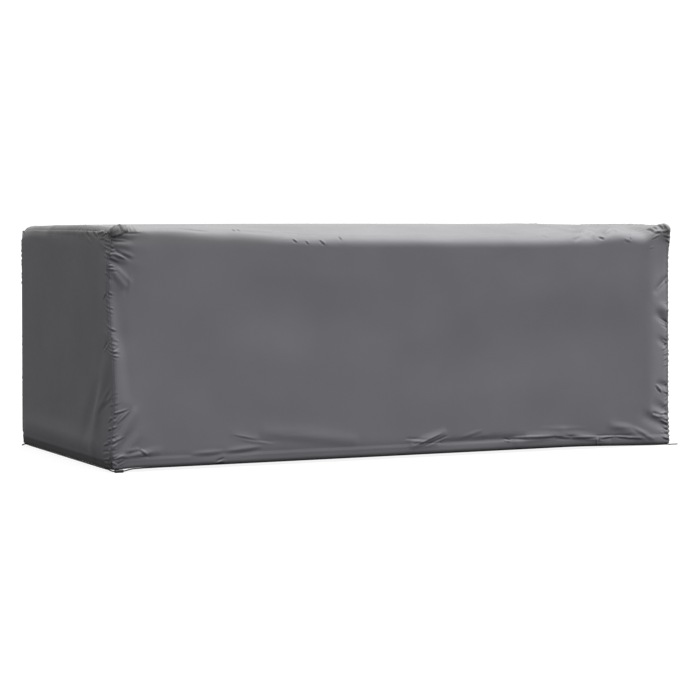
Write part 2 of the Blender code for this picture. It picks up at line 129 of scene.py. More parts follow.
def new_finish(name):
    """A new material, its node tree and its Principled shader."""
    finish = bpy.data.materials.new(name)
    finish.use_nodes = True
    return finish, finish.node_tree, finish.node_tree.nodes["Principled BSDF"]


def node(tree, kind, inputs=None, **settings):
    """A node with its settings and the values or links of its inputs."""
    made = tree.nodes.new("ShaderNode" + kind)
    for key, value in settings.items():
        setattr(made, key, value)
    for key, value in (inputs or {}).items():
        if isinstance(value, bpy.types.NodeSocket):
            tree.links.new(value, made.inputs[key])
        else:
            made.inputs[key].default_value = value
    return made


def arithmetic(tree, operation, first, second=0.0):
    """A math node's result."""
    return node(tree, "Math", {0: first, 1: second}, operation=operation).outputs[0]


def spread(tree, value, low, high, start=0.0, stop=1.0, **settings):
    """A value between start and stop, moved to between low and high."""
    return node(tree, "MapRange", {"Value": value, "From Min": start, "From Max": stop, "To Min": low,
                                   "To Max": high}, **settings).outputs["Result"]


def paint(finish, *pieces):
    """Give pieces their one finish."""
    for piece in pieces:
        piece.data.materials.clear()
        piece.data.materials.append(finish)
    print(finish.name, "has", len(finish.node_tree.nodes), "nodes, on", [piece.name for piece in pieces])


# %% Floor
FLOOR_SIDE = 120.0
FLOOR_GREY = 0.12
FLOOR_GLOW = 0.9
FLOOR_BELOW = 0.0004


def lit_floor():
    """A matt floor that is lit from below, like a light table."""
    finish, _tree, shader = new_finish("studio_floor")
    shader.inputs["Base Color"].default_value = (FLOOR_GREY, FLOOR_GREY, FLOOR_GREY, 1)
    shader.inputs["Roughness"].default_value = 0.9
    shader.inputs["Specular IOR Level"].default_value = 0.0
    shader.inputs["Emission Color"].default_value = (1, 1, 1, 1)
    shader.inputs["Emission Strength"].default_value = FLOOR_GLOW
    return finish


bpy.ops.mesh.primitive_plane_add(size=FLOOR_SIDE, location=(0, 0, cad_box[0][2] - FLOOR_BELOW))
floor = bpy.context.object
floor.name = "studio_floor"
paint(lit_floor(), floor)
floor.visible_diffuse = False
floor.visible_glossy = False
print(f"floor at z = {floor.location.z:.4f}")

# %% Light
KEY_FROM = Vector((0.36, -0.15, 0.92))
KEY_STRENGTH = 6.9
KEY_SOFTNESS = math.radians(50)
KEY_DISTANCE = 8.0
RIGHT_PANEL_PLACE = Vector((9.5, -1.3, 1.5))
RIGHT_PANEL_SIDE = 3.0
RIGHT_PANEL_POWER = 130.0

bpy.ops.object.light_add(type="SUN", location=KEY_FROM * KEY_DISTANCE,
                         rotation=KEY_FROM.to_track_quat("Z", "Y").to_euler())
key_light = bpy.context.object
key_light.name = "key_light"
key_light.data.energy = KEY_STRENGTH
key_light.data.angle = KEY_SOFTNESS

right_end = Vector((HALF_LENGTH, -HALF_WIDTH, HEM / 2))
towards = (RIGHT_PANEL_PLACE - right_end).to_track_quat("Z", "Y").to_euler()
bpy.ops.object.light_add(type="AREA", location=RIGHT_PANEL_PLACE, rotation=towards)
right_panel = bpy.context.object
right_panel.name = "right_panel"
right_panel.data.size = RIGHT_PANEL_SIDE
right_panel.data.energy = RIGHT_PANEL_POWER
right_panel.visible_camera = False

print("lights:", key_light.name, "and", right_panel.name)

# %% Sky
# Bright above the horizon and dark below it, brighter on the right. The camera sees plain white.
SKY_ABOVE = 0.98
SKY_BELOW = 0.15
SKY_TURN = 0.25
LEFT_DIM = 0.25
SEEN_WHITE = 1.1

studio = bpy.data.worlds.new("studio")
bpy.context.scene.world = studio
studio.use_nodes = True
sky = studio.node_tree
direction = node(sky, "SeparateXYZ", {0: node(sky, "TexCoord").outputs["Generated"]}).outputs
from_above = spread(sky, direction["Z"], SKY_BELOW, SKY_ABOVE, -SKY_TURN, SKY_TURN,
                    interpolation_type="SMOOTHSTEP")
from_right = spread(sky, direction["X"], 1 - LEFT_DIM, 1 + LEFT_DIM, -1.0)
sky_light = arithmetic(sky, "MULTIPLY", from_above, from_right)
seen = node(sky, "LightPath").outputs["Is Camera Ray"]
sky_strength = node(sky, "Mix", {"Factor": seen, "A": sky_light, "B": SEEN_WHITE}).outputs["Result"]
sky.nodes["Background"].inputs["Color"].default_value = (1, 1, 1, 1)
sky.links.new(sky_strength, sky.nodes["Background"].inputs["Strength"])
bpy.context.scene.view_settings.view_transform = "Standard"
print("sky has", len(sky.nodes), "nodes")

# %% [markdown]
# ## The shape that hangs
#
# The walls hang from the edges of the furniture's top. The long edges are soft rolls whose radius
# changes along the cover, and the front one droops in the middle. The sewn edges are tighter. These
# functions are the same as those of the solids, so that the fine cloth lies on them. Only the front
# edge is drawn tighter here, because thin cloth turns sharply over it, and the hem hangs a little
# higher, because the cord lies under it.

# %% Tables of the shape
# Columns: x from the left end, droop of the front edge, front radius, back radius, crown.
EDGE_STATIONS = (
    (0.00, -0.002, 0.013, 0.030, 0.000),
    (0.09, -0.003, 0.012, 0.036, 0.003),
    (0.17, -0.006, 0.022, 0.040, 0.006),
    (0.50, -0.001, 0.046, 0.045, 0.008),
    (0.90, 0.025, 0.046, 0.045, 0.008),
    (1.30, 0.032, 0.042, 0.050, 0.007),
    (1.50, 0.036, 0.042, 0.050, 0.006),
    (1.90, 0.039, 0.044, 0.050, 0.004),
    (2.17, 0.035, 0.044, 0.047, 0.002),
    (2.34, 0.018, 0.044, 0.042, 0.002),
    (2.45, 0.030, 0.044, 0.040, 0.003),
    (2.54, 0.000, 0.034, 0.035, 0.001),
    (2.60, 0.000, 0.024, 0.030, 0.000),
)

# Columns: way along the seam, radius at the left end, radius at the right end.
SEAM_ROUNDNESS = (
    (0.00, 0.016, 0.030),
    (0.12, 0.014, 0.050),
    (0.80, 0.014, 0.052),
    (0.95, 0.020, 0.022),
    (1.10, 0.040, 0.018),
    (1.55, 0.045, 0.020),
    (2.00, 0.045, 0.034),
    (2.15, 0.040, 0.040),
    (2.30, 0.048, 0.048),
    (3.10, 0.040, 0.040),
)

# Columns: height above the hem, shift of the left front corner towards the front wall.
CORNER_WANDER = (
    (0.00, 0.000),
    (0.10, -0.002),
    (0.28, 0.012),
    (0.42, 0.008),
    (0.55, -0.004),
    (0.70, -0.011),
    (0.80, -0.010),
    (0.90, 0.002),
    (0.95, 0.004),
)
WANDER_REACH = 0.16

# Columns: height above the hem, how far the slack right front seam stands in from the front wall.
CORNER_SLACK = (
    (0.00, 0.000),
    (0.07, 0.010),
    (0.20, 0.028),
    (0.40, 0.032),
    (0.60, 0.035),
    (0.74, 0.033),
    (0.86, 0.022),
    (0.95, 0.000),
)
SLACK_REACH = 0.125
SLACK_OUTWARDS = 0.62

# Side of the cover: spread at the hem, hem turned under.
HEM_SHAPE = {
    "front": (0.005, 0.002),
    "back": (0.003, 0.004),
    "left": (0.001, 0.007),
    "right": (0.006, 0.008),
}
TURN_HEIGHT = 0.075
HEM_LIFT = 0.0035
LIFT_REACH = 0.40
CORNER_SAG = 0.0115
SAG_REACH = 0.55
LEFT_SAG = 0.0055
LEFT_SAG_REACH = 0.12
CROWN_RISE = 0.32
DROOP_REACH = 0.30
STEADY_SHARE = 0.5
FOLD_END_SHARE = 0.55
EDGE_RULE_POWER = 3
EDGE_TOUCH = 0.0001

# %% The main folds
# Columns: face, along, up, along at its end, up at its end, half width, height.
FOLDS = (
    # the fan below the left front corner of the top
    ("front", 0.00, 0.925, 0.160, 0.915, 0.022, 0.006),
    ("front", 0.00, 0.890, 0.150, 0.870, 0.024, 0.007),
    ("front", 0.00, 0.855, 0.115, 0.805, 0.026, 0.007),
    ("front", 0.00, 0.815, 0.070, 0.730, 0.028, 0.006),
    ("front", 0.03, 0.690, 0.075, 0.300, 0.045, -0.004),
    ("left", 0.05, 0.915, 0.190, 0.960, 0.026, 0.007),
    ("left", 0.02, 0.860, 0.120, 0.905, 0.026, 0.005),
    # the left front corner above the hem
    ("front", 0.00, 0.060, 0.100, 0.225, 0.026, 0.008),
    ("front", 0.04, 0.040, 0.130, 0.150, 0.026, 0.006),
    ("front", 0.02, 0.045, 0.200, 0.062, 0.018, 0.005),
    ("left", 0.06, 0.420, 0.230, 0.060, 0.060, 0.011),
    ("left", 0.14, 0.330, 0.330, 0.110, 0.050, -0.006),
    # the right front corner
    ("front", 2.600, 0.745, 2.520, 0.665, 0.028, -0.007),
    ("front", 2.600, 0.560, 2.530, 0.600, 0.030, 0.006),
    ("front", 2.600, 0.490, 2.520, 0.560, 0.026, -0.007),
    ("front", 2.600, 0.405, 2.530, 0.450, 0.026, -0.006),
    ("front", 2.600, 0.240, 2.525, 0.258, 0.022, -0.006),
    ("front", 2.600, 0.120, 2.510, 0.170, 0.030, -0.007),
    ("front", 2.600, 0.060, 2.460, 0.120, 0.034, -0.008),
    ("front", 2.290, 0.085, 2.520, 0.015, 0.034, 0.009),
    # along the front wall above the hem
    ("front", 0.520, 0.118, 0.640, 0.084, 0.026, 0.005),
    ("front", 0.660, 0.120, 1.050, 0.070, 0.035, 0.004),
    ("front", 1.330, 0.036, 1.470, 0.082, 0.026, 0.006),
    ("front", 1.460, 0.040, 1.850, 0.046, 0.022, -0.005),
    ("front", 1.830, 0.030, 2.040, 0.062, 0.034, 0.008),
    ("front", 2.040, 0.062, 2.260, 0.012, 0.030, 0.007),
    # wide, shallow hollows of the two walls that show
    ("front", 0.55, 0.620, 1.200, 0.560, 0.200, -0.004),
    ("front", 1.50, 0.420, 2.250, 0.500, 0.220, -0.005),
    ("left", 0.55, 0.250, 0.650, 0.750, 0.250, -0.004),
    # the left wall stands out above its hem
    ("left", 0.16, 0.085, 1.100, 0.095, 0.055, 0.006),
    # crossing folds on the right third of the top
    ("top", 2.050, 0.420, 2.200, 0.060, 0.050, 0.007),
    ("top", 2.330, 0.330, 2.190, 0.080, 0.045, 0.006),
    ("top", 2.340, 0.340, 2.440, 0.060, 0.045, 0.006),
    ("top", 2.200, 0.200, 2.320, 0.220, 0.045, -0.005),
    # the gathered corners of the top, where three seams meet
    ("top", -0.010, -0.010, 0.050, 0.025, 0.040, 0.030),
    ("top", 2.600, -0.005, 2.555, 0.040, 0.034, 0.016),
    ("top", 2.590, 0.080, 2.590, 0.700, 0.050, 0.007),
    ("top", -0.005, 1.200, 0.050, 1.160, 0.034, 0.006),
    ("top", 2.605, 1.205, 2.555, 1.160, 0.034, 0.010),
)

# These are in the fine cloth only: the puffed left edge of the top, its rounder corners, folds that
# cross the right third of its front edge, and softer ends for some of the folds above.
FINE_FOLDS = (
    ("top", 0.028, 0.100, 0.028, 0.780, 0.052, 0.015),
    ("top", 0.030, 0.780, 0.020, 1.050, 0.070, 0.005),
    ("left", 1.200, 0.955, 1.200, 0.930, 0.075, -0.017),
    ("left", 1.080, 0.960, 1.190, 0.950, 0.080, -0.006),
    ("top", -0.010, -0.010, 0.050, 0.025, 0.040, -0.019),
    ("top", 0.070, 0.030, 0.100, 0.020, 0.040, 0.005),
    ("top", 0.000, 0.008, 0.050, 0.010, 0.020, 0.003),
    ("top", 0.038, 0.010, 0.098, 0.012, 0.020, 0.011),
    # folds that cross the right third of the front edge
    ("top", 2.150, 0.050, 2.320, 0.170, 0.040, 0.008),
    ("top", 2.290, 0.040, 2.450, 0.200, 0.040, 0.008),
    ("top", 1.880, 0.100, 2.110, 0.200, 0.045, 0.007),
    ("top", 1.500, 0.040, 1.800, 0.030, 0.030, 0.004),
    ("top", 2.612, -0.010, 2.605, 0.060, 0.045, -0.014),
    ("top", 2.605, 1.205, 2.555, 1.160, 0.034, -0.008),
    ("front", 1.840, 0.032, 2.040, 0.062, 0.034, -0.005),
    ("front", 2.040, 0.062, 2.250, 0.014, 0.030, -0.004),
    ("front", 0.520, 0.118, 0.640, 0.084, 0.026, -0.0035),
    ("front", 2.290, 0.085, 2.520, 0.015, 0.034, -0.004),
    # the fan folds of the left corner end sooner
    ("left", 0.060, 0.420, 0.230, 0.060, 0.060, -0.004),
    ("front", 0.090, 0.918, 0.160, 0.915, 0.022, -0.004),
    ("front", 0.070, 0.880, 0.150, 0.870, 0.024, -0.0055),
    ("front", 0.060, 0.830, 0.115, 0.805, 0.026, -0.005),
)
print(len(FOLDS), "main folds,", len(FINE_FOLDS), "in the fine cloth only")

# %% Helpers for the shape


def smooth(t):
    """An even step from 0 to 1."""
    t = np.clip(t, 0.0, 1.0)
    return t * t * (3 - 2 * t)


def column(table, index, where):
    """One column of a table, read between its rows with soft changes."""
    places = np.array([row[0] for row in table])
    values = np.array([row[index] for row in table])
    rank = np.clip(np.searchsorted(places, where, side="right") - 1, 0, len(places) - 2)
    share = smooth((where - places[rank]) / (places[rank + 1] - places[rank]))
    return values[rank] + (values[rank + 1] - values[rank]) * share


def shoulder(way, radius):
    """A rounded edge: inset from the wall, depth under the top and tilt of the cloth."""
    straight = SHOULDER - radius
    arc = radius * math.pi / 2
    run = (way + SHOULDER) / (2 * SHOULDER) * (2 * straight + arc)
    tilt = np.clip((run - straight) / radius, 0.0, math.pi / 2)
    inset = radius * (1 - np.cos(tilt)) + np.maximum(run - straight - arc, 0.0)
    depth = radius * (1 - np.sin(tilt)) + np.maximum(straight - run, 0.0)
    return inset, depth, tilt


def across(girth, x):
    """The cross section at x: y, z and the outward direction's y and z."""
    from_left = x + HALF_LENGTH
    front = np.clip(girth - WALL, -SHOULDER, SHOULDER)
    back = np.clip(WALL + SPAN - girth, -SHOULDER, SHOULDER)
    inset_f, depth_f, tilt_f = shoulder(front, column(EDGE_STATIONS, 2, from_left))
    inset_b, depth_b, tilt_b = shoulder(back, column(EDGE_STATIONS, 3, from_left))
    past_f = np.maximum(girth - WALL - SHOULDER, 0.0)
    past_b = np.maximum(WALL + SPAN - girth - SHOULDER, 0.0)
    below_f = np.maximum(WALL - SHOULDER - girth, 0.0)
    below_b = np.maximum(girth - (WALL + SPAN + SHOULDER), 0.0)
    on_front = girth < WALL + HALF_WIDTH
    y = np.where(on_front, -HALF_WIDTH + inset_f + past_f, HALF_WIDTH - inset_b - past_b)
    z = np.where(on_front, TOP - depth_f - below_f, TOP - depth_b - below_b)
    tilt = np.where(on_front, tilt_f, tilt_b)
    return y, z, np.where(on_front, -np.cos(tilt), np.cos(tilt)), np.sin(tilt)


# %% Where the long panel lies


def long_panel_places(along, girth):
    """Places and outward directions on the long panel. along runs from the left seam."""
    side = np.where(along < LENGTH / 2, -1.0, 1.0)
    from_seam = np.minimum(along, LENGTH - along)
    radius = np.where(side < 0, column(SEAM_ROUNDNESS, 1, girth), column(SEAM_ROUNDNESS, 2, girth))
    arc = radius * SEAM_TURN
    turn = np.maximum(SEAM_TURN - from_seam / radius, 0.0)
    past_arc = np.maximum(from_seam - arc, 0.0) * (HALF_LENGTH - radius) / (LENGTH / 2 - arc)
    x = side * (HALF_LENGTH - radius + radius * np.sin(turn) - past_arc)
    inset = radius * (1 - np.cos(turn))
    y, z, out_y, out_z = across(girth, x)
    places = np.stack([x, y - out_y * inset, z - out_z * inset], axis=-1)
    outward = np.stack([side * np.sin(turn), np.cos(turn) * out_y, np.cos(turn) * out_z], axis=-1)
    return places, outward


# %% Where an end panel lies


def end_panel_places(side, from_front, up):
    """Places and outward directions on an end panel."""

    def edge(girth):
        """The panel's sewn edge: y, z, the outward direction's y and z, roundness and inset."""
        radius = column(SEAM_ROUNDNESS, 1 if side < 0 else 2, girth)
        x = side * (HALF_LENGTH - radius * (1 - math.cos(SEAM_TURN)))
        y, z, out_y, out_z = across(girth, x)
        inset = radius * (1 - math.sin(SEAM_TURN))
        return y - out_y * inset, z - out_z * inset, out_y, out_z, radius, inset

    flat = from_front / SPAN
    high = up / WALL
    left = edge(up)
    right = edge(GIRTH - up)
    over = edge(WALL + from_front)
    bottom_front = edge(np.zeros_like(up))
    bottom_back = edge(np.full_like(up, GIRTH))
    top_front = edge(np.full_like(up, WALL))
    top_back = edge(np.full_like(up, WALL + SPAN))

    def patch(index):
        """The even fill between the four edges of the panel."""
        bottom = bottom_front[index] + (bottom_back[index] - bottom_front[index]) * flat
        rows = (1 - flat) * left[index] + flat * right[index]
        columns = (1 - high) * bottom + high * over[index]
        corners = (1 - high) * bottom + high * (
            (1 - flat) * top_front[index] + flat * top_back[index])
        return rows + columns - corners

    y = patch(0)
    z = patch(1)
    tilt = np.zeros((*y.shape, 3))
    weight_sum = np.zeros_like(y)
    for border in (left, right, over):
        distance = np.hypot(y - border[0], z - border[1])
        weight = 1 / (distance + EDGE_TOUCH) ** EDGE_RULE_POWER
        radius = border[4]
        reach = np.clip(radius - border[5] - distance, 0.0, None) / radius
        sink = radius * (1 - np.sqrt(1 - reach ** 2))
        tilt[..., 0] += weight * sink
        tilt[..., 1] += weight * reach * border[2]
        tilt[..., 2] += weight * reach * border[3]
        weight_sum += weight
    tilt /= weight_sum[..., None]
    places = np.stack([side * (HALF_LENGTH - tilt[..., 0]), y, z], axis=-1)
    lean = tilt[..., 1] ** 2 + tilt[..., 2] ** 2
    outward = np.stack([side * np.sqrt(1 - lean), tilt[..., 1], tilt[..., 2]], axis=-1)
    return places, outward


# %% The drape


def on_face(face, along, up):
    """A point of the cover's sharp box from the distances that the fold table uses."""
    if face == "front":
        return np.array([along - LENGTH / 2, -HALF_WIDTH, HEM + up])
    if face == "left":
        return np.array([-HALF_LENGTH, -WIDTH / 2 + along, HEM + up])
    return np.array([along - LENGTH / 2, -WIDTH / 2 + up, TOP])


def fold_height(places):
    """How far the main folds lift the cloth at each place."""
    height = np.zeros(places.shape[:-1])
    for face, along, up, along_end, up_end, half_width, lift in FOLDS + FINE_FOLDS:
        start = on_face(face, along, up)
        run = on_face(face, along_end, up_end) - start
        length = np.linalg.norm(run)
        share = np.clip(((places - start) @ run) / length ** 2, 0.0, 1.0)
        distance = np.linalg.norm(places - (start + share[..., None] * run), axis=-1)
        swell = FOLD_END_SHARE + (1 - FOLD_END_SHARE) * np.sin(math.pi * share)
        height += lift * swell * smooth(1 - distance / half_width)
    return height


def drape(places, outward):
    """Turn the plain rounded box into hanging cloth."""
    x, y, z = places[..., 0], places[..., 1], places[..., 2]
    draped = places + outward * fold_height(places)[..., None]
    depth = (TOP - z) / WALL

    # the front edge droops between its ends, and the cloth beside it follows
    from_front = np.hypot(y + HALF_WIDTH, TOP - z)
    droop = column(EDGE_STATIONS, 1, x + HALF_LENGTH) * smooth(1 - from_front / DROOP_REACH)
    crown = column(EDGE_STATIONS, 4, x + HALF_LENGTH) * smooth((y + HALF_WIDTH) / CROWN_RISE)
    draped[..., 2] += (crown - droop) * smooth((z - HEM) / WALL / STEADY_SHARE)

    # with its cord, the fine cloth is about as long as the solid without it,
    # apart from the left end and the slack right front corner, which sag
    corner = np.hypot(x - HALF_LENGTH, y + HALF_WIDTH)
    lift = HEM_LIFT - CORNER_SAG * smooth(1 - corner / SAG_REACH)
    lift -= LEFT_SAG * smooth(1 - (x + HALF_LENGTH) / LEFT_SAG_REACH)
    draped[..., 2] += lift * smooth(1 - (z - HEM) / LIFT_REACH)

    # walls spread downwards, and the hem turns under
    tuck = smooth(1 - (z - HEM) / TURN_HEIGHT)
    for name, axis, sign in (("front", 1, -1), ("back", 1, 1), ("left", 0, -1), ("right", 0, 1)):
        spread, turned = HEM_SHAPE[name]
        facing = np.clip(sign * outward[..., axis], 0.0, 1.0) ** 2
        half = (HALF_LENGTH, HALF_WIDTH)[axis]
        nearness = np.clip(sign * places[..., axis] / half, 0.0, 1.0)
        draped[..., axis] += sign * spread * depth * nearness
        draped[..., axis] -= sign * turned * tuck * facing

    # the left front corner's ridge wanders sideways
    corner = np.hypot(x + HALF_LENGTH, y + HALF_WIDTH)
    wander = column(CORNER_WANDER, 1, z - HEM) * smooth(1 - corner / WANDER_REACH)
    draped[..., 0] += wander * math.cos(SEAM_TURN)
    draped[..., 1] -= wander * math.sin(SEAM_TURN)

    # the right front corner is slack, so the front wall turns in before it
    corner = np.hypot(x - HALF_LENGTH, y + HALF_WIDTH)
    slack = column(CORNER_SLACK, 1, z - HEM) * smooth(1 - corner / SLACK_REACH)
    draped[..., 0] += SLACK_OUTWARDS * slack
    draped[..., 1] += slack
    return draped


def inner_face(piece, across_cut, up_cut):
    """The cloth's inner face for places on a piece's flat cut."""
    if piece == "long":
        return drape(*long_panel_places(across_cut, up_cut))
    return drape(*end_panel_places(-1 if piece == "left" else 1, across_cut, up_cut))


corner_place = inner_face("long", np.array([0.0]), np.array([0.0]))[0]
print("the long panel's first corner hangs at", np.round(corner_place, 3))
